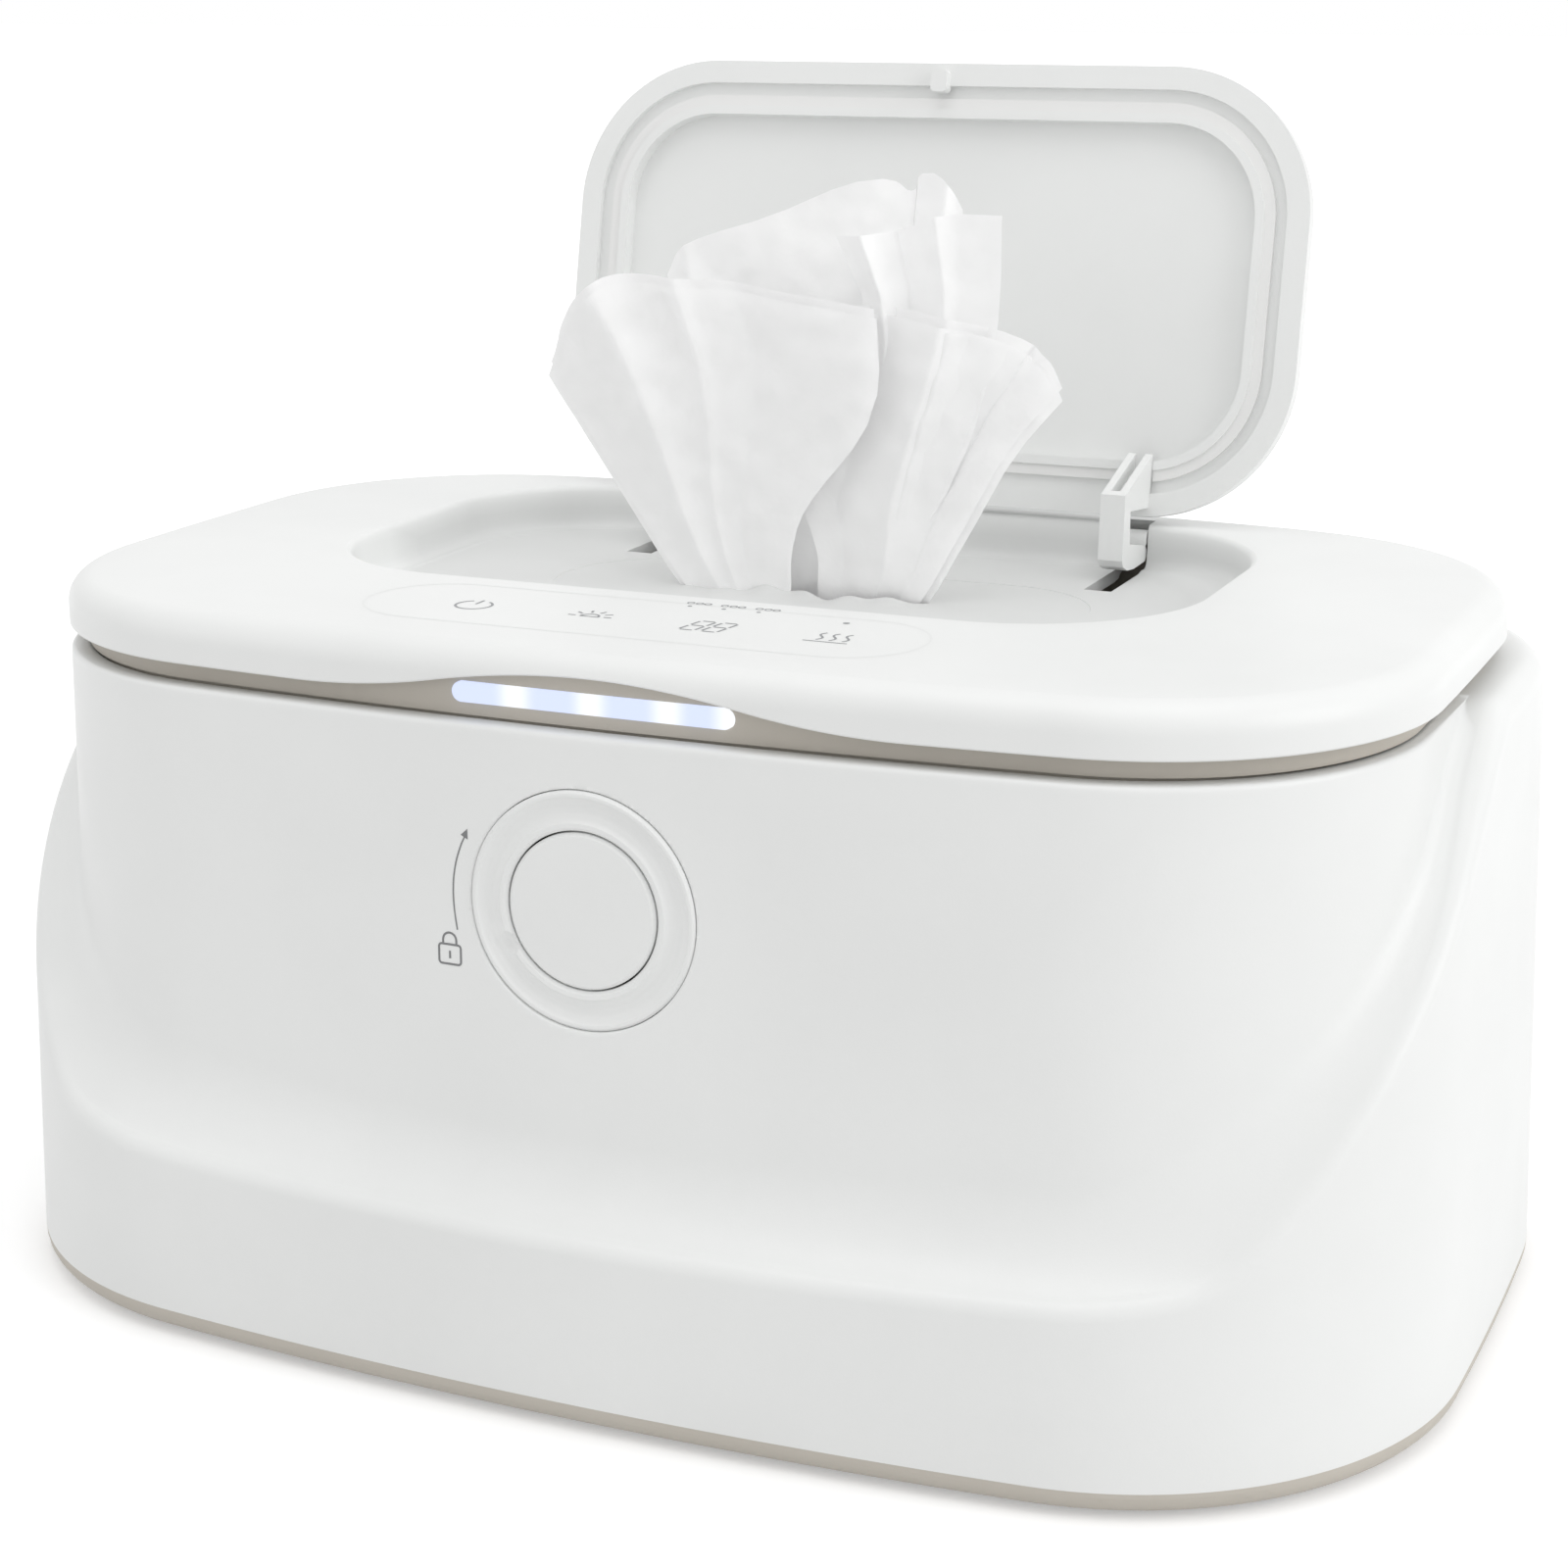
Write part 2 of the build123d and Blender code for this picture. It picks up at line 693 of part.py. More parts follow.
write(lock_ring.part, "lock_ring")

carrier_front = ring_depth + clearance
cup_floor = carrier_front + carrier_thickness + 1.4
bolt_front = cup_floor + 1.0 + clearance
with BuildPart() as push_button:
    with BuildSketch(knob_section):
        with BuildLine():
            crown = ThreePointArc((0, -0.25), (button_radius / 2, -0.2), (button_radius - 0.5, 0.0))
            Polyline(
                crown @ 1,
                (button_radius, 0.5),
                (button_radius, button_skirt),
                (button_radius - 1.4, button_skirt),
                (button_radius - 1.4, button_skin),
                (stem_radius, button_skin),
                (stem_radius, bolt_front),
                (0, bolt_front),
                crown @ 0,
            )
        make_face()
    revolve(axis=knob_axis)
write(push_button.part, "push_button")

spring_top = knob_face_y + button_skin
spring_bottom = knob_face_y + cup_floor
with BuildPart() as button_spring:
    with BuildSketch(knob_section):
        for turn in range(spring_turns):
            depth = button_skin + spring_wire + (cup_floor - button_skin - 2 * spring_wire) * turn / (spring_turns - 1)
            with Locations((spring_radius, depth)):
                Circle(spring_wire)
        with Locations((spring_radius, (button_skin + cup_floor) / 2)):
            Rectangle(spring_wire, cup_floor - button_skin - 2 * spring_wire)
    revolve(axis=knob_axis)
write(button_spring.part, "button_spring")

with BuildPart() as lock_carrier:
    with BuildSketch(knob_plane.offset(-carrier_front)):
        Circle(ring_flange_radius + 1)
        with Locations((carrier_screw_x, 0), (-carrier_screw_x, 0)):
            Circle(3.6)
        Rectangle(2 * carrier_screw_x, 7.2)
    extrude(amount=-carrier_thickness)
    # the top is cut off under the tank's shelf
    with Locations((0, knob_face_y + carrier_front, collar_bottom - clearance + 10)):
        Box(4 * ring_flange_radius, 12, 20, mode=Mode.SUBTRACT)
    with BuildSketch(knob_plane.offset(-carrier_front)):
        Circle(spring_radius + 2.4)
    extrude(amount=-(cup_floor - carrier_front + 1.0))
    with BuildSketch(knob_plane.offset(-carrier_front)):
        Circle(spring_radius + 0.9)
    extrude(amount=-(cup_floor - carrier_front), mode=Mode.SUBTRACT)
    with BuildSketch(knob_plane.offset(-carrier_front)):
        Circle(stem_radius + pin_running_clearance)
        with Locations((carrier_screw_x, 0), (-carrier_screw_x, 0)):
            Circle(1.2)
    extrude(amount=-10, mode=Mode.SUBTRACT)
write(lock_carrier.part, "lock_carrier")

carrier_screw_list = [
    screw(
        (side * carrier_screw_x, knob_face_y + carrier_front + carrier_thickness, knob_z), (0, -1, 0), 1.0, 2.0, 1.3, 5.0
    )
    for side in (-1, 1)
]
with BuildPart() as carrier_screws:
    add(carrier_screw_list)
write(carrier_screws.part, "carrier_screws")

# the bolt is a plate on the button's stem, and its nose holds the cover's catch
bolt_y = knob_face_y + bolt_front
catch_y = -rim_width / 2 + plug_clearance + frame_thickness + 0.05
nose_tip_y = catch_y + 0.1
with BuildPart() as latch_bolt:
    with BuildSketch(Plane.XZ.offset(-bolt_y)):
        with Locations((0, (knob_z - 4 + nose_z + nose_height / 2) / 2)):
            RectangleRounded(9.0, nose_z + nose_height / 2 - knob_z + 4, 1.0)
    extrude(amount=-bolt_thickness)
    with BuildSketch(Plane.YZ.offset(-nose_width / 2)):
        with BuildLine():
            Polyline(
                (bolt_y + 0.2, nose_z - nose_height / 2),
                (nose_tip_y, nose_z - nose_height / 2),
                (nose_tip_y, nose_z - nose_height / 2 + 0.5),
                (nose_tip_y + 1.3, nose_z + nose_height / 2),
                (bolt_y + 0.2, nose_z + nose_height / 2),
                close=True,
            )
        make_face()
    extrude(amount=nose_width)
write(latch_bolt.part, "latch_bolt")

# ---------------------------------------------------------------- cover

basin_outside = slab(
    basin_length + 2 * basin_wall,
    basin_width + 2 * basin_wall,
    basin_corner_radius + basin_wall,
    basin_floor_z - basin_wall,
    skin_z + 0.5,
    y=basin_y,
)
basin_inside = slab(basin_length, basin_width, basin_corner_radius, basin_floor_z, cover_top + 2, y=basin_y)
cover_block = oval_prism(cover_outline, cover_bottom, cover_top)
cover_hollow = oval_prism(inset(cover_outline, cover_skin), cover_bottom - 1, skin_z)
boss_places = [
    (sx * (cover_length / 2 - cover_screw_inset_x), sy * (cover_width / 2 - cover_screw_inset_y))
    for sx in (-1, 1)
    for sy in (-1, 1)
]
arm_sides = (-arm_x, arm_x)
with BuildPart() as basin:
    add(basin_inside)
    fillet(basin.edges().group_by(Axis.Z)[0], basin_floor_radius)
with BuildPart() as top_cover:
    add(cover_block)
    fillet(top_cover.edges().group_by(Axis.Z)[-1], cover_edge_radius)
    add(cover_hollow, mode=Mode.SUBTRACT)
    add(basin_outside)
    add(basin.part, mode=Mode.SUBTRACT)
    rim_edges = top_cover.edges().group_by(Axis.Z)[-1].filter_by(
        lambda e: abs(e.center().X) < basin_length / 2 + 1 and basin_front_y - 1 < e.center().Y < basin_rear_y + 1
    )
    fillet(rim_edges, basin_rim_radius)
    # dispensing mouth
    with BuildSketch(Plane.XY.offset(basin_floor_z - 5)):
        with Locations((0, basin_y)):
            SlotOverall(mouth_length, mouth_width)
    extrude(amount=8, mode=Mode.SUBTRACT)
    # bosses for the frame's screws
    with BuildSketch(Plane.XY.offset(frame_bottom + frame_thickness)):
        with Locations(*boss_places):
            Circle(3.2)
    extrude(amount=skin_z - frame_bottom - frame_thickness + 0.5)
    with BuildSketch(Plane.XY.offset(frame_bottom + frame_thickness)):
        with Locations(*boss_places):
            Circle(1.0)
    extrude(amount=6, mode=Mode.SUBTRACT)
    for side_x in arm_sides:
        # lugs that carry the flip lid's pins
        for step in (-1, 1):
            with Locations((side_x + step * (arm_slot_width / 2 + 1.0), basin_rear_y + 2.6, (pivot_z - 2.6 + skin_z + 0.5) / 2)):
                Box(2.0, 5.2, skin_z + 0.5 - pivot_z + 2.6)
    for side_x in arm_sides:
        # slots for the arms through the basin's floor and rear wall
        with Locations((side_x, (arm_slot_front_y + basin_rear_y + 8) / 2, (basin_floor_z - 4 + pivot_z + 2.2) / 2)):
            Box(
                arm_slot_width,
                basin_rear_y + 8 - arm_slot_front_y,
                pivot_z + 2.2 - basin_floor_z + 4,
                mode=Mode.SUBTRACT,
            )
        with BuildSketch(Plane.YZ.offset(side_x - arm_slot_width / 2 - 4)):
            with Locations((pivot_y, pivot_z)):
                Circle(flip_pin_radius)
        extrude(amount=arm_slot_width + 8, mode=Mode.SUBTRACT)
    # the lower edge rises in a long wave over the light bar
    with BuildSketch(Plane.XZ.offset(cover_width / 2 - cover_skin - 2)):
        with BuildLine():
            left = ThreePointArc(
                (-wave_half_length, cover_bottom),
                (-wave_half_length * 0.75, cover_bottom + wave_height * 0.125),
                (-wave_half_length / 2, cover_bottom + wave_height / 2),
            )
            crest = ThreePointArc(
                left @ 1, (0, cover_bottom + wave_height), (wave_half_length / 2, cover_bottom + wave_height / 2)
            )
            right = ThreePointArc(
                crest @ 1,
                (wave_half_length * 0.75, cover_bottom + wave_height * 0.125),
                (wave_half_length, cover_bottom),
            )
            Polyline(right @ 1, (wave_half_length, cover_bottom - 3), (-wave_half_length, cover_bottom - 3), left @ 0)
        make_face()
    extrude(amount=10, mode=Mode.SUBTRACT)
write(top_cover.part, "top_cover")

light_y = -(cover_width / 2 - band_inset) - 0.2
light_depth = band_wall + 1.1
led_y = light_y + light_depth + 1.0 + 1.2
band_outline = inset(cover_outline, band_inset)
plug_outline = inset(rim_outline, plug_clearance)
band_outside = oval_prism(band_outline, frame_bottom, skin_z - clearance)
band_inside = oval_prism(inset(band_outline, band_wall), frame_bottom + frame_thickness, skin_z + 1)
plug_outside = oval_prism(plug_outline, plug_bottom, frame_bottom + frame_thickness)
plug_inside = oval_prism(
    inset(plug_outline, frame_thickness), plug_bottom + frame_thickness, frame_bottom + frame_thickness + 1
)
knuckle_root_y = cover_width / 2 - band_inset - band_wall - 0.8
frame_mouth = slab(mouth_length + 20, mouth_width + 16, 20, plug_bottom - 1, plug_bottom + 4, y=basin_y)
frame_basin_hole = slab(
    basin_length + 2 * basin_wall + 2 * clearance,
    basin_width + 2 * basin_wall + 2 * clearance,
    basin_corner_radius + basin_wall + clearance,
    plug_bottom + frame_thickness,
    frame_bottom + 10,
    y=basin_y,
)
with BuildPart() as cover_frame:
    add(band_outside)
    add(band_inside, mode=Mode.SUBTRACT)
    add(plug_outside)
    add(plug_inside, mode=Mode.SUBTRACT)
    add(frame_mouth, mode=Mode.SUBTRACT)
    # posts under the cover's bosses
    with BuildSketch(Plane.XY.offset(plug_bottom)):
        with Locations(*boss_places):
            Circle(3.8)
    extrude(amount=frame_bottom + frame_thickness - plug_bottom)
    with BuildSketch(Plane.XY.offset(plug_bottom)):
        with Locations(*boss_places):
            Circle(1.2)
    extrude(amount=12, mode=Mode.SUBTRACT)
    with BuildSketch(Plane.XY.offset(plug_bottom)):
        with Locations(*boss_places):
            Circle(2.4)
    extrude(amount=3.0, mode=Mode.SUBTRACT)
    # slots the arms dip through when the flip lid is shut
    for side_x in arm_sides:
        with Locations((side_x, basin_rear_y - 2.4, plug_bottom)):
            Box(arm_slot_width, 18.4, 8, mode=Mode.SUBTRACT)
    # knuckles that reach back over the ledge to the hinge
    for side in (-1, 1):
        with BuildSketch(Plane.YZ.offset(side * hinge_x - knuckle_width / 2)):
            with BuildLine():
                Polyline(
                    (knuckle_root_y, frame_bottom),
                    (hinge_y, frame_bottom),
                    (hinge_y, hinge_z + 1.2),
                    (cover_width / 2 + 1.0, cover_bottom - clearance),
                    (knuckle_root_y, cover_bottom - clearance),
                    close=True,
                )
            make_face()
            with Locations((hinge_y, hinge_z)):
                Circle(hinge_boss_radius)
        extrude(amount=knuckle_width)
        with BuildSketch(Plane.YZ.offset(side * hinge_x - knuckle_width)):
            with Locations((hinge_y, hinge_z)):
                Circle(hinge_pin_radius + pin_running_clearance)
        extrude(amount=2 * knuckle_width, mode=Mode.SUBTRACT)
    # slot for the light bar
    with BuildSketch(Plane.XZ.offset(cover_width / 2 - band_inset - 3)):
        with Locations((0, light_centre_z)):
            SlotOverall(light_length + 0.2, light_height + 0.2)
    extrude(amount=8, mode=Mode.SUBTRACT)
    # slot for the catch
    with Locations((0, catch_y + catch_thickness / 2 + 0.05, plug_bottom)):
        Box(catch_width + 0.2, catch_thickness + 0.1, 2 * frame_thickness + 0.4, mode=Mode.SUBTRACT)
    # grooved posts for the board behind the light bar
    for side in (-1, 1):
        with Locations((side * (light_length / 2 + 4.2), led_y + board_thickness / 2, plug_bottom + frame_thickness)):
            Box(3.6, 5.0, 11.0, align=(Align.CENTER, Align.CENTER, Align.MIN))
    with Locations((0, led_y + board_thickness / 2, light_centre_z + 2)):
        Box(light_length + 6.2, board_thickness + 0.2, 11.0, mode=Mode.SUBTRACT)
write(cover_frame.part, "cover_frame")

cover_screw_list = [
    screw((x, y, plug_bottom + 3.0), (0, 0, 1), 1.0, 2.0, 1.3, 9.0) for x, y in boss_places
]
with BuildPart() as cover_screws:
    add(cover_screw_list)
write(cover_screws.part, "cover_screws")

with BuildPart() as light_bar:
    with BuildSketch(Plane.XZ.offset(-light_y)):
        with Locations((0, light_centre_z)):
            SlotOverall(light_length, light_height)
    extrude(amount=-light_depth)
    with BuildSketch(Plane.XZ.offset(-(light_y + light_depth))):
        with Locations((0, light_centre_z)):
            SlotOverall(light_length + 4, light_height + 1.6)
    extrude(amount=-1.0)
write(light_bar.part, "light_bar")

with BuildPart() as led_board:
    with Locations((0, led_y + board_thickness / 2, light_centre_z)):
        Box(light_length + 6, board_thickness, 7)
    with Locations((0, led_y - 0.5, light_centre_z)):
        with GridLocations(13, 0, 3, 1):
            Box(3.5, 1.0, 2.8)
write(led_board.part, "led_board")

with BuildPart() as touch_board:
    with Locations((-2, panel_y, skin_z - board_thickness / 2)):
        Box(touch_board_length, touch_board_width, board_thickness)
    with Locations((-2, panel_y, skin_z - board_thickness - 1.0)):
        with GridLocations(20, 0, 4, 1):
            Box(5, 5, 2.0)
    fillet(touch_board.edges().filter_by(Axis.Z).group_by(Axis.X)[0], 2)
write(touch_board.part, "touch_board")

catch_bottom = shell_top - catch_drop
with BuildPart() as cover_catch:
    with BuildSketch(Plane.XZ.offset(-catch_y)):
        with Locations((0, (catch_bottom + frame_bottom + 0.5) / 2)):
            RectangleRounded(catch_width, frame_bottom + 0.5 - catch_bottom, 1.2)
        with Locations((0, nose_z)):
            Rectangle(nose_width + 1.2, nose_height + 2 * nose_clearance, mode=Mode.SUBTRACT)
    extrude(amount=-catch_thickness)
    with Locations((0, catch_y + catch_thickness + 1.4, plug_bottom + frame_thickness + 0.8)):
        Box(catch_width, 3.0, 1.6)
write(cover_catch.part, "cover_catch")

seal_outside = oval_prism(inset(plug_outline, 1.2), flange_z + 0.4, plug_bottom)
seal_inside = oval_prism(inset(plug_outline, 3.2), flange_z, plug_bottom + 1)
with BuildPart() as cover_seal:
    add(seal_outside)
    add(seal_inside, mode=Mode.SUBTRACT)
    for side_x in arm_sides:
        with Locations((side_x, basin_rear_y + 5, plug_bottom)):
            Box(arm_slot_width + 1, 5.2, 8, mode=Mode.SUBTRACT)
    with Locations((0, -rim_width / 2 + 3, plug_bottom)):
        Box(catch_width + 2, 6.5, 8, mode=Mode.SUBTRACT)
write(cover_seal.part, "cover_seal")

with BuildPart() as dispensing_gate:
    with BuildSketch(Plane.XY.offset(basin_floor_z - basin_wall - 1.2)):
        with Locations((0, basin_y)):
            SlotOverall(mouth_length + 10, mouth_width + 10)
    extrude(amount=1.2)
    with BuildSketch(Plane.XY.offset(basin_floor_z - basin_wall)):
        with Locations((0, basin_y)):
            SlotOverall(mouth_length - 0.4, mouth_width - 0.4)
    extrude(amount=basin_wall - 0.2)
    with BuildSketch(Plane.XY.offset(basin_floor_z - 6)):
        with Locations((0, basin_y)):
            SlotOverall(mouth_length - 28, 14)
    extrude(amount=12, mode=Mode.SUBTRACT)
write(dispensing_gate.part, "dispensing_gate")

hinge_pin_list = [
    rod(
        hinge_pin_radius,
        (side * hinge_x - lug_offset - lug_width / 2, hinge_y, hinge_z),
        (side * hinge_x + lug_offset + lug_width / 2, hinge_y, hinge_z),
    )
    for side in (-1, 1)
]
with BuildPart() as cover_hinge_pins:
    add(hinge_pin_list)
write(cover_hinge_pins.part, "cover_hinge_pins")

flip_pin_list = [
    rod(
        flip_pin_radius,
        (side_x - arm_slot_width / 2 - 1.9, pivot_y, pivot_z),
        (side_x + arm_slot_width / 2 + 1.9, pivot_y, pivot_z),
    )
    for side_x in arm_sides
]
with BuildPart() as flip_lid_pins:
    add(flip_pin_list)
write(flip_lid_pins.part, "flip_lid_pins")

# ---------------------------------------------------------------- flip lid, drawn open on its stop

# the closed lid's lower rear edge, turned about the pivot to the open angle
turn = radians(lid_open_angle)
closed_y = basin_rear_y - lid_rear_gap - pivot_y
closed_z = cover_top - lid_thickness - pivot_z
heel_y = pivot_y + closed_y * cos(turn) + closed_z * sin(turn)
heel_z = pivot_z - closed_y * sin(turn) + closed_z * cos(turn)
lid_up = Vector(0, -cos(turn), sin(turn))
lid_in = Vector(0, -sin(turn), -cos(turn))
lid_plane = Plane(origin=(0, heel_y, heel_z), x_dir=(-1, 0, 0), z_dir=-lid_in)


def lid_block(inset_all, depth_from, depth_to):
    """Rounded block in the open lid's plane, measured from its inner rim outwards."""
    with BuildPart() as block:
        with BuildSketch(lid_plane.offset(depth_from)):
            with Locations((0, lid_width / 2)):
                RectangleRounded(
                    lid_length - 2 * inset_all, lid_width - 2 * inset_all, lid_corner_radius - inset_all
                )
        extrude(amount=depth_to - depth_from)
    return block.part


lid_outer = lid_block(0, 0, lid_thickness)
lid_step = lid_block(lid_step_inset, -0.1, lid_thickness - 3.6)
lid_pan = lid_block(lid_bead_inset, -1, lid_thickness - lid_skin)
bead_outer = lid_block(lid_bead_inset - lid_bead_width, 0.2, lid_thickness - 1)
with BuildPart() as flip_lid:
    add(lid_outer)
    fillet(flip_lid.faces().sort_by(Axis((0, 0, 0), -lid_in))[-1].edges(), lid_edge_radius)
    add(lid_step, mode=Mode.SUBTRACT)
    add(bead_outer)
    add(lid_pan, mode=Mode.SUBTRACT)
    # the arms pass through gaps in the bead
    with BuildSketch(lid_plane):
        with Locations((arm_x, lid_bead_inset - 1.5), (-arm_x, lid_bead_inset - 1.5)):
            Rectangle(arm_width + 0.4, 4.6)
    extrude(amount=lid_thickness - lid_skin, mode=Mode.SUBTRACT)
    # latch tab at the free edge
    with BuildSketch(lid_plane.offset(0.5)):
        with Locations((-0.8, lid_width - 3.3)):
            RectangleRounded(3.0, 4.0, 0.8)
    extrude(amount=-2.6)
write(flip_lid.part, "flip_lid")

seal_outer = lid_block(lid_bead_inset - lid_bead_width - 1.9, lid_thickness - 4.4, lid_thickness - 3.6)
seal_hole = lid_block(lid_bead_inset - lid_bead_width, 0.0, lid_thickness - 2)
with BuildPart() as lid_seal:
    add(seal_outer)
    add(seal_hole, mode=Mode.SUBTRACT)
    with BuildSketch(lid_plane):
        with Locations((arm_x, lid_bead_inset - 3), (-arm_x, lid_bead_inset - 3)):
            Rectangle(arm_width + 0.4, 8)
    extrude(amount=lid_thickness, mode=Mode.SUBTRACT)
write(lid_seal.part, "lid_seal")

# gooseneck arms: from the pan, forwards over the rear rim, down and back under it to the pivot
arm_root_low = Vector(heel_y, heel_z) + Vector(lid_up.Y, lid_up.Z) * (lid_bead_inset + 1)
arm_root_high = arm_root_low + Vector(lid_up.Y, lid_up.Z) * 8.5
skin_step = Vector(-lid_in.Y, -lid_in.Z) * (lid_thickness - lid_skin)
elbow = Vector(pivot_y - arm_elbow_reach, heel_z + 6.2)
toe = Vector(pivot_y - arm_toe_reach, pivot_z + 0.2)
arm_list = []
for side_x in arm_sides:
    with BuildPart() as arm:
        with BuildSketch(Plane.YZ.offset(side_x - arm_width / 2)) as profile:
            with BuildLine():
                Polyline(
                    arm_root_high + skin_step,
                    elbow,
                    toe,
                    toe + Vector(1.4, -1.0),
                    Vector(pivot_y, pivot_z - flip_boss_radius),
                    Vector(pivot_y, pivot_z),
                    Vector(pivot_y - 1.6, pivot_z - 0.6),
                    toe + Vector(4.0, 1.8),
                    elbow + Vector(3.4, -4.8),
                    arm_root_low + skin_step,
                    close=True,
                )
            make_face()
            with Locations((pivot_y, pivot_z)):
                Circle(flip_boss_radius)
        extrude(amount=arm_width)
        with BuildSketch(Plane.YZ.offset(side_x - arm_width)):
            with Locations((pivot_y, pivot_z)):
                Circle(flip_pin_radius + pin_running_clearance)
        extrude(amount=2 * arm_width, mode=Mode.SUBTRACT)
    arm_list.append(arm.part)
with BuildPart() as lid_arms:
    add(arm_list)
write(lid_arms.part, "lid_arms")

# ---------------------------------------------------------------- wipes

with BuildPart() as wipe_stack:
    with BuildSketch(Plane.XY.offset(tank_bottom + tank_wall + clearance)):
        RectangleRounded(stack_length, stack_width, stack_corner_radius)
    extrude(amount=stack_height)
    fillet(wipe_stack.edges().group_by(Axis.Z)[0], tank_floor_radius)
write(wipe_stack.part, "wipe_stack")

tuft_bottom = basin_floor_z - basin_wall - 1.0
with BuildPart() as wipe_tuft:
    for share, length, thickness, x, y in tuft_sections:
        with BuildSketch(Plane.XY.offset(tuft_bottom + share * tuft_height)):
            with Locations((x, basin_y + y)):
                Ellipse(length / 2, thickness / 2)
    loft()
write(wipe_tuft.part, "wipe_tuft")

# ---------------------------------------------------------------- supply lead

wall_outer_y = rear_inner_y + shell_wall
grip_y = wall_outer_y + clearance
with BuildPart() as micro_usb_plug:
    with Locations((socket_x, grip_y + plug_grip_length / 2, socket_z)):
        Box(plug_grip_width, plug_grip_length, plug_grip_height)
    fillet(micro_usb_plug.edges().filter_by(Axis.Y), 1.8)
    fillet(micro_usb_plug.edges().group_by(Axis.Y)[-1], 1.2)
    with BuildSketch(Plane.XZ.offset(-(grip_y + plug_grip_length))):
        with Locations((socket_x, socket_z)):
            Circle(relief_radius)
    extrude(amount=-relief_length, taper=3.5)
    with Locations((socket_x, grip_y - plug_shell_length / 2, socket_z)):
        Box(plug_shell_width, plug_shell_length, plug_shell_height)
    chamfer(
        micro_usb_plug.edges()
        .filter_by(Axis.Y)
        .filter_by(lambda e: e.center().Y < grip_y and e.center().Z < socket_z),
        plug_shell_bevel,
    )
    with Locations((socket_x, grip_y - plug_shell_length / 2 - 1, socket_z)):
        Box(plug_shell_width - 2.2, plug_shell_length, plug_shell_mouth, mode=Mode.SUBTRACT)
write(micro_usb_plug.part, "micro_usb_plug")


def lead_route(points):
    """Corner radii for a lead's straight runs, each as large as its runs allow."""
    radii = []
    for before, corner, after in zip(points, points[1:], points[2:]):
        inward = Vector(*corner) - Vector(*before)
        outward = Vector(*after) - Vector(*corner)
        half_turn = radians(inward.get_angle(outward)) / 2
        radii.append(0.45 * min(inward.length, outward.length) / tan(half_turn))
    print("lead radii", [round(radius, 1) for radius in radii])
    return radii


lay_z = cable_radius + tie_thickness
coil_side_y = coil_y + coil_radius * 0.94  # where the lead runs onto and off the coil
coil_reach = 21.0  # length of lead beside the coil's middle that belongs to the coil
coil_in = (coil_x + coil_reach, coil_side_y, lay_z)
coil_out = (coil_x - coil_reach, coil_side_y, lay_z)
coil_plane = Plane(origin=(coil_x, coil_y, 0), x_dir=(1, 0, 0), z_dir=(0, -1, 0))
with BuildPart() as usb_cable_coil:
    with BuildSketch(coil_plane):
        with Locations((coil_radius, tie_thickness + coil_section / 2)):
            RectangleRounded(coil_section, coil_section, cable_radius * 0.9)
    revolve(axis=Axis((coil_x, coil_y, 0), (0, 0, 1)))
    # first and last bit of the lead, up to the coil
    for end in (coil_in, coil_out):
        with BuildSketch(Plane(origin=end, z_dir=(coil_x - end[0], 0, 0))):
            Circle(cable_radius)
        extrude(amount=coil_reach / 2)
write(usb_cable_coil.part, "usb_cable_coil")

lead_start = (socket_x, grip_y + plug_grip_length + relief_length, socket_z)
lead_points = [
    lead_start,
    (socket_x, lead_start[1] + 8.8, socket_z),
    (socket_x - 1, lead_start[1] + 20.6, 3.4),
    (coil_x + coil_reach + 10.5, coil_side_y, lay_z),
    coil_in,
]
usb_a_x = coil_x - usb_a_beside
usb_a_z = usb_a_grip_height / 2
usb_a_tail_y = coil_y - 4
tail_points = [
    coil_out,
    (coil_x - coil_reach - 11, coil_side_y, lay_z),
    (usb_a_x, usb_a_tail_y + 9, usb_a_z),
    (usb_a_x, usb_a_tail_y, usb_a_z),
]
lead_list = []
for points in (lead_points, tail_points):
    with BuildPart() as lead:
        with BuildLine():
            route = FilletPolyline(*points, radius=lead_route(points))
        with BuildSketch(Plane(origin=route @ 0, z_dir=route % 0)):
            Circle(cable_radius)
        sweep()
    lead_list.append(lead.part)
with BuildPart() as usb_cable:
    add(lead_list)
write(usb_cable.part, "usb_cable")

with BuildPart() as cable_tie:
    with BuildSketch(coil_plane.offset(-tie_width / 2)):
        with Locations((coil_radius, tie_thickness + coil_section / 2)):
            RectangleRounded(
                coil_section + 2 * tie_thickness, coil_section + 2 * tie_thickness, cable_radius * 0.9 + tie_thickness
            )
            RectangleRounded(coil_section, coil_section, cable_radius * 0.9, mode=Mode.SUBTRACT)
    extrude(amount=tie_width)
    add(usb_cable_coil.part, mode=Mode.SUBTRACT)
write(cable_tie.part, "cable_tie")

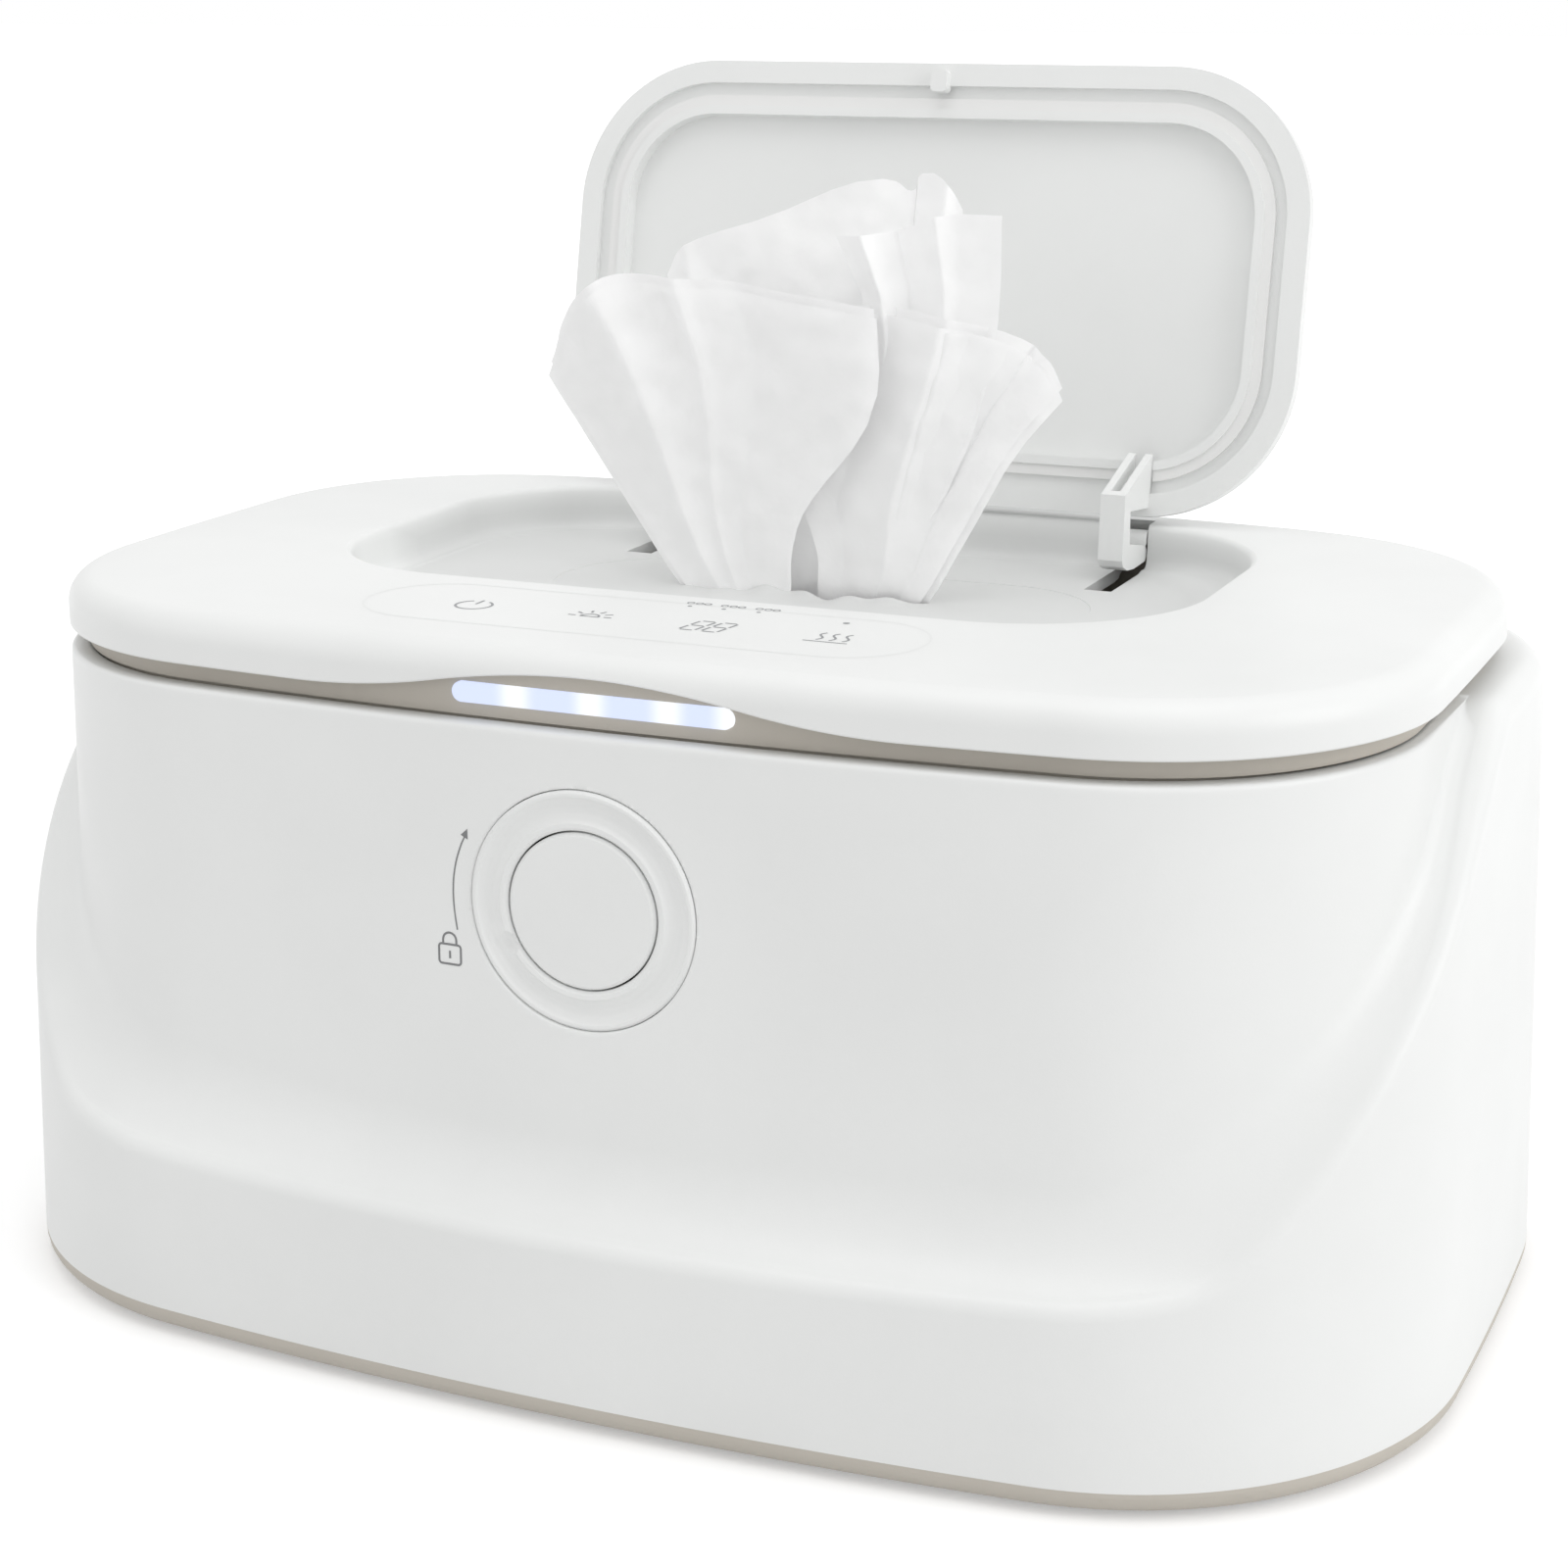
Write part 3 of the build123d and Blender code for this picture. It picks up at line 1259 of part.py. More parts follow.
usb_a_grip_y = usb_a_tail_y - relief_length
with BuildPart() as usb_a_plug:
    with Locations((usb_a_x, usb_a_grip_y - usb_a_grip_length / 2, usb_a_z)):
        Box(usb_a_grip_width, usb_a_grip_length, usb_a_grip_height)
    fillet(usb_a_plug.edges().filter_by(Axis.Y), 1.8)
    fillet(usb_a_plug.edges().group_by(Axis.Y)[-1], 1.2)
    with BuildSketch(Plane.XZ.offset(-usb_a_grip_y)):
        with Locations((usb_a_x, usb_a_z)):
            Circle(relief_radius)
    extrude(amount=-relief_length, taper=3.5)
    with Locations((usb_a_x, usb_a_grip_y - usb_a_grip_length - usb_a_shell_length / 2, usb_a_z)):
        Box(usb_a_shell_width, usb_a_shell_length, usb_a_shell_height)
    with Locations((usb_a_x, usb_a_grip_y - usb_a_grip_length - usb_a_shell_length / 2 - 1, usb_a_z - 0.9)):
        Box(usb_a_shell_width - 0.8, usb_a_shell_length, usb_a_shell_height - 2.6, mode=Mode.SUBTRACT)
    # two square windows in the shell's upper face
    for side in (-1, 1):
        with Locations(
            (
                usb_a_x + side * usb_a_shell_width * 0.22,
                usb_a_grip_y - usb_a_grip_length - usb_a_shell_length * 0.52,
                usb_a_z + usb_a_shell_height / 2,
            )
        ):
            Box(usb_a_window, usb_a_window, 0.8, mode=Mode.SUBTRACT)
write(usb_a_plug.part, "usb_a_plug")
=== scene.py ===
"""Baby wipe warmer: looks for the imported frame. Metres, the row frame of the CAD."""
import json
from math import atan2, cos, hypot, pi, radians, sin, sqrt, tan

import bmesh
import bpy
import numpy as np
from mathutils import Matrix, Vector, noise
from mathutils.bvhtree import BVHTree


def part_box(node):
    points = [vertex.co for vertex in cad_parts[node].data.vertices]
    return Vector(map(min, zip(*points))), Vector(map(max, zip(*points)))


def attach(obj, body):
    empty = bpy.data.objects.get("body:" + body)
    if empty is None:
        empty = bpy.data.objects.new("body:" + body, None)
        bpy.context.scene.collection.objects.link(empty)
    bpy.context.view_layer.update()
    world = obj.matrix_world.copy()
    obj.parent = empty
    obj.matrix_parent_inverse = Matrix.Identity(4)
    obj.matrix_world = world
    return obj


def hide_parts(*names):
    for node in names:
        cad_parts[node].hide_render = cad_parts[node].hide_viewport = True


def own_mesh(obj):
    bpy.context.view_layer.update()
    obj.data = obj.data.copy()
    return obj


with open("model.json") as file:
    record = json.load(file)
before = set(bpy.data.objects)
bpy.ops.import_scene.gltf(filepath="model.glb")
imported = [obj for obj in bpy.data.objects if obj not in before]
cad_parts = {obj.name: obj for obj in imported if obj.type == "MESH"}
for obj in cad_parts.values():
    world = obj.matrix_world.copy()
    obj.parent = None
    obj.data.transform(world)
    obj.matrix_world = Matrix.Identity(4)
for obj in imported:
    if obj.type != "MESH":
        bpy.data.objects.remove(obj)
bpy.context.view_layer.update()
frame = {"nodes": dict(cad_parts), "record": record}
nodes = frame["nodes"]
MM = 0.001
KNOB_Z = 78.35  # height of the lock ring's and the button's axis (mm)


# ---------------- materials


def feed(node, inputs):
    """Sets a node's inputs: a socket is linked, anything else is a value."""
    for key, value in inputs.items():
        if isinstance(value, bpy.types.NodeSocket):
            node.id_data.links.new(value, node.inputs[key])
        else:
            node.inputs[key].default_value = value


def add_node(tree, kind, inputs=None, **settings):
    """New shader node with its settings and inputs."""
    node = tree.nodes.new("ShaderNode" + kind)
    for key, value in settings.items():
        setattr(node, key, value)
    feed(node, inputs or {})
    return node


def maths(tree, operation, *values):
    """Output of a maths node on numbers or sockets."""
    return add_node(tree, "Math", dict(enumerate(values)), operation=operation).outputs[0]


def object_place(tree):
    """Object coordinates, in metres."""
    return add_node(tree, "TexCoord").outputs["Object"]


def principled(tree):
    return [n for n in tree.nodes if n.type == "BSDF_PRINCIPLED"][0]


def new_material(name):
    """Material with its node tree emptied down to a Principled shader."""
    m = bpy.data.materials.new(name)
    m.use_nodes = True
    tree = m.node_tree
    tree.nodes.clear()
    shader = add_node(tree, "BsdfPrincipled")
    add_node(tree, "OutputMaterial", {"Surface": shader.outputs[0]})
    return m, tree, shader


def srgb(r, g, b):
    """Linear colour of an 8-bit display colour."""
    f = lambda v: v / 12.92 if v <= 0.04045 else ((v + 0.055) / 1.055) ** 2.4
    return tuple(f(v / 255) for v in (r, g, b)) + (1.0,)


def grey(v):
    return (v, v, v, 1.0)


def shade_of(colour, k):
    """The same colour, k times as bright."""
    return tuple(min(1.0, c * k) for c in colour[:3]) + (1.0,)


def noise_mix(tree, scale, low, high, detail=3.0):
    """Two colours mixed by object-space noise; gives the colour output."""
    cloud = add_node(
        tree, "TexNoise", {"Scale": scale, "Detail": detail, "Roughness": 0.55, "Vector": object_place(tree)}
    )
    ramp = add_node(tree, "ValToRGB", {"Fac": cloud.outputs["Fac"]})
    for element, position, colour in zip(ramp.color_ramp.elements, (0.35, 0.65), (low, high)):
        element.position = position
        element.color = colour
    return ramp.outputs["Color"]


def plastic(name, colour, rough, grain, grain_depth, vary=0.015, coat=0.0):
    """Moulded plastic: fine spark-eroded grain, faint cloudiness and an uneven gloss."""
    m, tree, shader = new_material(name)
    pits = add_node(tree, "TexNoise", {"Scale": grain, "Detail": 2.0, "Vector": object_place(tree)})
    bump = add_node(tree, "Bump", {"Strength": 0.35, "Distance": grain_depth, "Height": pits.outputs["Fac"]})
    tint = noise_mix(tree, 22.0, shade_of(colour, 1 - vary), shade_of(colour, 1 + vary))
    gloss = noise_mix(tree, 60.0, grey(rough * 0.93), grey(rough * 1.07))
    feed(shader, {"Base Color": tint, "Roughness": gloss, "Normal": bump.outputs["Normal"]})
    feed(shader, {"IOR": 1.46, "Coat Weight": coat, "Coat Roughness": 0.25})
    return m


def metal(name, colour, rough):
    """Plated or brushed metal with fine scratches."""
    m, tree, shader = new_material(name)
    tint = noise_mix(tree, 300.0, shade_of(colour, 0.93), colour)
    gloss = noise_mix(tree, 510.0, grey(rough * 0.8), grey(rough * 1.2))
    feed(shader, {"Base Color": tint, "Roughness": gloss, "Metallic": 1.0})
    return m


def cloth_material(name, colour):
    """Wet nonwoven: thin, lets light through, with fibre clouds and a pin-dot emboss."""
    m, tree, shader = new_material(name)
    tint = noise_mix(tree, 420.0, shade_of(colour, 0.965), colour, detail=5.0)
    place = object_place(tree)
    dots = add_node(tree, "TexVoronoi", {"Scale": 700.0, "Vector": place})
    fibre = add_node(tree, "TexNoise", {"Scale": 1500.0, "Detail": 4.0, "Vector": place})
    relief = maths(tree, "ADD", dots.outputs["Distance"], fibre.outputs["Fac"])
    bump = add_node(tree, "Bump", {"Strength": 0.3, "Distance": 0.00008, "Height": relief}).outputs["Normal"]
    gloss = noise_mix(tree, 90.0, grey(0.62), grey(0.78))
    feed(shader, {"Base Color": tint, "Roughness": gloss, "Normal": bump})
    # painted glow: a faint emission stands in for light scattered on from ply to ply
    feed(shader, {"Emission Color": tint, "Emission Strength": 0.05})
    through = add_node(tree, "BsdfTranslucent", {"Color": tint, "Normal": bump})
    mix = add_node(tree, "MixShader", {"Fac": 0.15, 1: shader.outputs[0], 2: through.outputs[0]})
    out = [n for n in tree.nodes if n.type == "OUTPUT_MATERIAL"][0]
    feed(out, {"Surface": mix.outputs[0]})
    return m


def lit_bar():
    """Diffuser with a row of lamps behind it, lit a cool white."""
    m, tree, shader = new_material("lit_diffuser")
    split = add_node(tree, "SeparateXYZ", {"Vector": object_place(tree)})
    glow = None
    for lamp_x in (-0.0125, 0.0, 0.0125, 0.0225):
        away = maths(tree, "ABSOLUTE", maths(tree, "SUBTRACT", split.outputs["X"], lamp_x))
        fade = {"Value": away, "From Min": 0.0, "From Max": 0.0042, "To Min": 1.0, "To Max": 0.0}
        spot = add_node(tree, "MapRange", fade, interpolation_type="SMOOTHERSTEP").outputs["Result"]
        glow = spot if glow is None else maths(tree, "MAXIMUM", glow, spot)
    colours = {"Factor": glow, "A": srgb(216, 226, 252), "B": srgb(252, 254, 255)}
    tint = add_node(tree, "Mix", colours, data_type="RGBA")
    feed(shader, {"Base Color": srgb(90, 96, 112), "Roughness": 0.4})
    feed(shader, {"Emission Color": tint.outputs["Result"], "Emission Strength": 0.93})
    return m


def turned(m, centre, pitch, depth):
    """Adds fine turned lines round a knob's axis to a material's bump."""
    tree = m.node_tree
    old = [n for n in tree.nodes if n.type == "BUMP"][0]
    arm = add_node(tree, "VectorMath", {0: object_place(tree), 1: centre}, operation="SUBTRACT")
    flat = add_node(tree, "VectorMath", {0: arm.outputs[0], 1: (1, 0, 1)}, operation="MULTIPLY")
    radius = add_node(tree, "VectorMath", {0: flat.outputs[0]}, operation="LENGTH").outputs["Value"]
    wave = maths(tree, "SINE", maths(tree, "MULTIPLY", radius, 2 * pi / pitch))
    bump = add_node(
        tree, "Bump", {"Strength": 1.0, "Distance": depth, "Height": wave, "Normal": old.outputs["Normal"]}
    )
    feed(principled(tree), {"Normal": bump.outputs["Normal"]})
    return m


# each plastic's colour, roughness, grains across a metre and their depth in metres
abs_colour = srgb(238, 239, 238)
white = plastic("white_abs", abs_colour, 0.42, 2600.0, 0.00003, coat=0.1)
silicone_white = plastic("silicone_white", srgb(238, 238, 237), 0.55, 1200.0, 0.00004)
ring_white = plastic("ring_abs", abs_colour, 0.36, 2600.0, 0.00003, coat=0.15)
ring_white = turned(ring_white, centre=(0, 0, KNOB_Z * MM), pitch=0.0011, depth=0.00002)
lead_white = plastic("lead_jacket", srgb(232, 232, 230), 0.45, 1500.0, 0.00003)
steel = metal("zinc_steel", srgb(178, 178, 180), 0.35)
wipe_cloth = cloth_material("wipe_cloth", srgb(254, 254, 254))

by_slot = {
    "white_plastic": white,
    "beige_plastic": plastic("beige_abs", srgb(196, 190, 180), 0.55, 2200.0, 0.00006),
    "tank_plastic": plastic("tank_pp", srgb(226, 227, 226), 0.45, 1800.0, 0.00003),
    "inner_plastic": plastic("nylon", srgb(214, 212, 205), 0.5, 1500.0, 0.00004),
    "light_diffuser": lit_bar(),
    "foam": plastic("foam", srgb(70, 70, 72), 0.95, 500.0, 0.0004, vary=0.12),
    "silicone": plastic("silicone", srgb(222, 219, 212), 0.6, 1200.0, 0.00004),
    "feet_rubber": plastic("feet_rubber", srgb(120, 116, 110), 0.8, 900.0, 0.00008),
    "steel": steel,
    "aluminium": metal("aluminium", srgb(205, 205, 208), 0.4),
    "film": plastic("polyimide", srgb(186, 120, 46), 0.35, 900.0, 0.00002),
    "board": plastic("solder_mask", srgb(28, 92, 52), 0.4, 1400.0, 0.00003),
    "cable_jacket": lead_white,
    "plug_shell": steel,
    "tie": plastic("tie_strap", srgb(52, 52, 54), 0.9, 1800.0, 0.0002, vary=0.15),
    "wipe": wipe_cloth,
}
for part in frame["record"]["subparts"]:
    obj = nodes[part["node"]]
    obj.data.materials.clear()
    obj.data.materials.append(by_slot[part["material_slot"]])
own_finish = {"lock_ring": ring_white, "dispensing_gate": silicone_white, "lid_seal": silicone_white}
for node, material in own_finish.items():
    nodes[node].data.materials[0] = material

# ---------------- mesh helpers (mm)


def quads(bm, rows, closed=False, wrap=False):
    """Faces between rows of vertices; closed joins the last row to the first, wrap the ends of each row."""
    for a, b in zip(rows, rows[1:] + rows[:1] if closed else rows[1:]):
        for j in range(len(a) if wrap else len(a) - 1):
            k = (j + 1) % len(a)
            bm.faces.new((a[j], a[k], b[k], b[j]))


def new_object(name, data):
    obj = bpy.data.objects.new(name, data)
    bpy.context.scene.collection.objects.link(obj)
    return obj


def finish_mesh(bm, name, material, smooth=True, recalc=True):
    """Object from a bmesh in millimetres."""
    if recalc:
        bmesh.ops.recalc_face_normals(bm, faces=bm.faces)
    bmesh.ops.scale(bm, vec=(MM, MM, MM), verts=bm.verts)
    mesh = bpy.data.meshes.new(name)
    bm.to_mesh(mesh)
    bm.free()
    if smooth:
        mesh.polygons.foreach_set("use_smooth", [True] * len(mesh.polygons))
    mesh.materials.append(material)
    return new_object(name, mesh)


def new_verts(made):
    """The vertices among the elements that a bmesh operation made."""
    return [g for g in made["geom"] if isinstance(g, bmesh.types.BMVert)]


def spaced(lo, hi, n):
    return [lo + (hi - lo) * k / (n - 1) for k in range(n)]


def arc_path(cx, cy, r, start, end, n):
    """Points on an arc between two angles in degrees."""
    return [(cx + r * cos(radians(a)), cy + r * sin(radians(a))) for a in spaced(start, end, n)]


def circle(cx, cy, r, n):
    return arc_path(cx, cy, r, 0, 360, n + 1)[:-1]


def smooth_step(t):
    t = min(1.0, max(0.0, t))
    return t * t * (3 - 2 * t)


# ---------------- outlines (mm)

# ovals of eight arcs: length, width, radius of the ends, of the sides and of the corners
BODY = (247.6, 168.8, 943.0, 755.0, 56.0)
RECESS = (227.8, 143.8, 1550.0, 903.0, 45.5)
COVER = (230.0, 142.4, 2012.0, 861.0, 46.4)
BODY_BOTTOM, BODY_TOP = 4.7, 105.0
BODY_SLOPE = tan(radians(1.77))
RECESS_SLOPE = tan(radians(1.2))


def inset(outline, amount):
    length, width, end_r, side_r, corner_r = outline
    return (length - 2 * amount, width - 2 * amount, end_r - amount, side_r - amount, corner_r - amount)


def arc_points(centre, radius, start, end, steps):
    """Points on an arc between two angles in radians, without the last one."""
    angles = [start + (end - start) * k / steps for k in range(steps)]
    return [centre + radius * np.array((cos(a), sin(a))) for a in angles]


def bearing(v):
    return atan2(v[1], v[0])


def reach_at(ring, angles):
    """Distance from the origin to a closed ring of points at each angle."""
    turn = np.unwrap(np.arctan2(ring[:, 1], ring[:, 0]))
    reach = np.hypot(ring[:, 0], ring[:, 1])
    wrapped = (np.asarray(angles, float) - turn[0]) % (2 * pi) + turn[0]
    return np.interp(wrapped, turn, reach)


def oval_reach(outline, angles, centre=(0.0, 0.0)):
    """Distance from a centre to the eight-arc oval at each angle."""
    length, width, end_r, side_r, corner_r = outline
    side_c = np.array((0.0, width / 2 - side_r))
    end_c = np.array((length / 2 - end_r, 0.0))
    # the corner arc's centre lies at known distances from those of its neighbours
    a, b = side_r - corner_r, end_r - corner_r
    d = np.linalg.norm(end_c - side_c)
    u = (end_c - side_c) / d
    foot = (a * a - b * b + d * d) / (2 * d)
    away = np.array((-u[1], u[0])) * sqrt(max(0.0, a * a - foot * foot))
    corner = side_c + u * foot + away
    if min(corner) < 0:
        corner = side_c + u * foot - away
    on_side, on_end = bearing(corner - side_c), bearing(corner - end_c)
    q = arc_points(end_c, end_r, 0.0, on_end, 60)
    q += arc_points(corner, corner_r, on_end, on_side, 120)
    q += arc_points(side_c, side_r, on_side, pi / 2, 80) + [side_c + np.array((0.0, side_r))]
    q = np.array(q)
    ring = np.concatenate((q, (q * (-1, 1))[::-1][1:], (q * (-1, -1))[1:], (q * (1, -1))[::-1][1:]))
    return reach_at(ring - np.array(centre), angles)


def rounded_outline(x0, x1, y0, y1, r_left, r_right, n=41):
    """Closed outline of a rectangle with round corners of n points each."""
    corners = (
        (x1 - r_right, y1 - r_right, r_right, 0),
        (x0 + r_left, y1 - r_left, r_left, 90),
        (x0 + r_left, y0 + r_left, r_left, 180),
        (x1 - r_right, y0 + r_right, r_right, 270),
    )
    return [p for cx, cy, r, a in corners for p in arc_path(cx, cy, r, a, a + 90, n)]


def ring_reach(points, angles, centre):
    """Distance from a centre to a closed outline at each angle, its sides cut into short steps."""
    points = np.array(points) - np.array(centre)
    steps = np.arange(30)[:, None] / 30
    ring = [a + (b - a) * steps for a, b in zip(points, np.roll(points, -1, axis=0))]
    return reach_at(np.concatenate(ring + [points[:1]]), angles)


# ---------------- housing skin (mm)

CROOK = np.array((-70.8, 35.1))  # y and z where the scoop's floor turns up
FLOOR_SLOPE = radians(20.3)
RISE_MIDDLE, RISE_END = np.array((-37.0, 76.5)), np.array((-4.0, 104.2))
RISE_STEPS = 60
SCOOP_STEP, SCOOP_BLUR = 0.25, 2.0  # spacing in y, and how far the profile's corners are rounded


def scoop_profile():
    """Height of the scooped surface at each y: floor, rounded crook, rising arc, top."""
    slope = np.array((cos(FLOOR_SLOPE), sin(FLOOR_SLOPE)))
    chords = np.array((RISE_MIDDLE - CROOK, RISE_END - CROOK))
    sides = np.array((RISE_MIDDLE @ RISE_MIDDLE, RISE_END @ RISE_END)) - CROOK @ CROOK
    centre = np.linalg.solve(2 * chords, sides)
    r = np.linalg.norm(CROOK - centre)
    arc = arc_points(centre, r, bearing(CROOK - centre), bearing(RISE_END - centre), RISE_STEPS) + [RISE_END]
    run_out = (arc[-1] - arc[-2]) / np.linalg.norm(arc[-1] - arc[-2])
    pts = np.array([CROOK - slope * 40, CROOK - slope * 0.01] + arc + [RISE_END + run_out * 3])
    y = np.arange(-100, 100, SCOOP_STEP)
    z = np.interp(y, pts[:, 0], pts[:, 1])
    z[y > -3.0] = BODY_TOP
    z = np.minimum(z, BODY_TOP)
    # rounded crook and a soft run-out at the top
    half = round(3 * SCOOP_BLUR / SCOOP_STEP)
    bell = np.exp(-0.5 * (np.arange(-half, half + 1) * SCOOP_STEP / SCOOP_BLUR) ** 2)
    return y, np.convolve(np.pad(z, half, mode="edge"), bell / bell.sum(), mode="valid")


SCOOP_Y, SCOOP_Z = scoop_profile()
scoop_z = lambda y: float(np.interp(y, SCOOP_Y, SCOOP_Z))


def corner_arc(p, q, r, n):
    """Conic from p to r with its corner at q, close to a circle."""
    p, q, r = np.array(p), np.array(q), np.array(r)
    a, b = p - q, r - q
    la, lb = np.linalg.norm(a), np.linalg.norm(b)
    if la < 1e-9 or lb < 1e-9:
        return [tuple(q)] * n
    weight = sin(np.arccos(np.clip(np.dot(a, b) / (la * lb), -1, 1)) / 2)
    out = []
    for t in spaced(0, 1, n):
        f0, f1, f2 = (1 - t) ** 2, 2 * t * (1 - t) * weight, t * t
        out.append(tuple((p * f0 + q * f1 + r * f2) / (f0 + f1 + f2)))
    return out


HOLE_R = 18.8  # hole for the lock ring
RIM = inset(RECESS, 3.9)
WALL_LOW, WALL_HIGH = 93.0, 98.0  # heights on the wall inside the rim
CREASE_R, SHOULDER_R, COVE_R = 2.0, 4.6, 10.0
BLEND_LOW, BLEND_HIGH = 60.0, 102.0  # the crease's rounding grows into the shoulder's between these heights
FACE_Y = -73.0  # the front wall at the knob
FRONT_Y = -60.0  # all of the front lies before this
FINE_HALF, FINE_STEP = 23.4, 0.45  # columns of faces stand close together beside the knob's axis
COARSE_COLUMNS, WALL_ROWS = 420, 97


def meets_scoop(reach, sn):
    """Height at which a wall of the given reach meets the scooped surface, by halving."""
    lo, hi = 10.0, BODY_TOP
    for _ in range(40):
        mid = (lo + hi) / 2
        if scoop_z(reach(mid) * sn) > mid:
            lo = mid
        else:
            hi = mid
    return (lo + hi) / 2


def housing_section(phi, body, body_10, recess, recess_out, rim):
    """One section of the housing's skin, as (distance, height), from the bottom edge to inside the rim.

    body_10 is the body's reach 10 mm further in, recess_out the recess's 1 mm further out.
    """
    sn = sin(phi)
    wall = lambda z: body - (z - BODY_BOTTOM) * BODY_SLOPE * (body - body_10) / 10.0
    rec = lambda z: recess + (BODY_TOP - z) * RECESS_SLOPE * (recess_out - recess)
    on_scoop = lambda r: (r, scoop_z(r * sn))
    # crease: where the wall meets the scooped surface; foot: where the recessed wall does
    crease_z, foot_z = meets_scoop(wall, sn), meets_scoop(rec, sn)
    crease, foot = wall(crease_z), rec(foot_z)
    ledge = hypot(crease - foot, crease_z - foot_z)
    height = BODY_TOP - foot_z
    up_share = min(1.0, max(0.0, (crease_z - BLEND_LOW) / (BLEND_HIGH - BLEND_LOW)))
    edge_r = min(CREASE_R + (SHOULDER_R - CREASE_R) * up_share**2, ledge * 0.55)
    cove_r = max(min(COVE_R, 0.9 * (ledge - edge_r), 0.95 * height), 1e-4)
    per_mm = (crease - foot) / max(ledge, 1e-6)
    outer, inner = crease - edge_r * per_mm, foot + cove_r * per_mm
    pts = [(wall(z), z) for z in spaced(BODY_BOTTOM, crease_z - edge_r, 14)]
    pts += corner_arc(pts[-1], (crease, crease_z), on_scoop(outer), 9)[1:]
    pts += [on_scoop(r) for r in spaced(outer, inner, 9)][1:]
    pts += corner_arc(pts[-1], (foot, foot_z), (rec(foot_z + cove_r), foot_z + cove_r), 14)[1:]
    # recessed wall, in rows close enough for the knob's hole
    wall_top = BODY_TOP - min(0.8, 0.04 * height)
    pts += [(rec(z), z) for z in spaced(foot_z + cove_r, wall_top, WALL_ROWS)][1:]
    top_edge = rec(BODY_TOP)
    pts += corner_arc(pts[-1], (top_edge, BODY_TOP), (top_edge - (BODY_TOP - wall_top), BODY_TOP), 5)[1:]
    return pts + [(rim + 0.5, BODY_TOP), (rim, BODY_TOP - 0.5), (rim, WALL_HIGH), (rim, WALL_LOW)]


def off_axis(v):
    """A vertex's distance from the knob's axis."""
    return hypot(v.co.x, v.co.z - KNOB_Z)


def stretch_to(v, distance):
    """Moves a vertex along its radius to a distance from the knob's axis."""
    k = distance / max(off_axis(v), 1e-6)
    v.co.x *= k
    v.co.z = KNOB_Z + (v.co.z - KNOB_Z) * k


def housing_mesh():
    fine = np.arange(-FINE_HALF, FINE_HALF + 0.01, FINE_STEP)
    front = [atan2(FACE_Y, x) % (2 * pi) for x in fine]
    rest = np.linspace(front[-1], front[0] + 2 * pi, COARSE_COLUMNS)[1:-1]
    angles = np.array(front + list(rest))
    outlines = (BODY, inset(BODY, 10.0), RECESS, inset(RECESS, -1.0), RIM)
    reaches = zip(*(oval_reach(outline, angles) for outline in outlines))
    bm = bmesh.new()
    grid = []
    for phi, reach in zip(angles, reaches):
        c, s = cos(phi), sin(phi)
        grid.append([bm.verts.new((r * c, r * s, z)) for r, z in housing_section(phi, *reach)])
    quads(bm, grid, closed=True)
    # round hole for the lock ring
    in_front = [f for f in bm.faces if all(v.co.y < FRONT_Y for v in f.verts)]
    mixed = set()
    for f in in_front:
        inside = [v for v in f.verts if off_axis(v) < HOLE_R]
        if len(inside) < len(f.verts):
            mixed.update(inside)
    for v in mixed:
        stretch_to(v, HOLE_R)
    doomed = [f for f in in_front if all(off_axis(v) < HOLE_R + 1e-3 for v in f.verts)]
    bmesh.ops.delete(bm, geom=doomed, context="FACES")
    bmesh.ops.delete(bm, geom=[v for v in bm.verts if not v.link_faces], context="VERTS")
    at_hole = lambda v: v.co.y < FRONT_Y and abs(off_axis(v) - HOLE_R) < 0.05
    edges = [e for e in bm.edges if e.is_boundary and all(at_hole(v) for v in e.verts)]
    # a small chamfer, then the hole's wall
    for inwards, back in ((0.18, 0.18), (0.0, 3.0)):
        made = bmesh.ops.extrude_edge_only(bm, edges=edges)
        for v in new_verts(made):
            stretch_to(v, off_axis(v) - inwards)
            v.co.y += back
        edges = [g for g in made["geom"] if isinstance(g, bmesh.types.BMEdge)]
    bmesh.ops.remove_doubles(bm, verts=bm.verts, dist=0.004)
    return bm


housing = finish_mesh(housing_mesh(), "housing_skin", white)
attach(housing, "housing")
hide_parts("outer_shell")

# ---------------- cover skin (mm)

COVER_LOW, TOP, EDGE_R = 108.4, 116.4, 4.6
SKIRT_W, SKIRT_TOP, SKIRT_OUT, SKIRT_IN = 2.0, 114.0, 0.25, 0.2  # the last two round its lower edge
WAVE_HALF, WAVE_HIGH = 50.0, 4.9  # half the length and the height of the rise over the light bar
BASIN_RIM = (-78.8, 72.6, -26.7, 59.1, 27.8, 31.1)  # x and y limits, left and right corner radius
BASIN_FLOOR, WALL_FOOT = 108.65, 108.8
FILLET_W, FLAT_SHARE = 1.6, 0.4  # strip between wall and floor, and the share of it that is flat
SHELF_X, SHELF_RUN, SHELF_W, SHELF_RISE = 46.0, 22.0, 10.0, 1.7  # that strip is a low shelf at the right end
MOUTH_Y, MOUTH_HALF_X, MOUTH_HALF_Y = 16.2, 48.0, 19.0
ARM_X, ARM_W = 43.6, 4.4
SLOT_W, SLOT_Y0, SLOT_Y1, SLOT_DEPTH = 4.9, 36.5, 62.0, 2.2
SLOT_NEAR = (3.55, 6.5, 4.0)  # a slot cuts the faces this near its sides, front and rear
ON_WALL, WALL_BACK = 109.6, 1.2  # a slot's edge above this height is moved back by this much

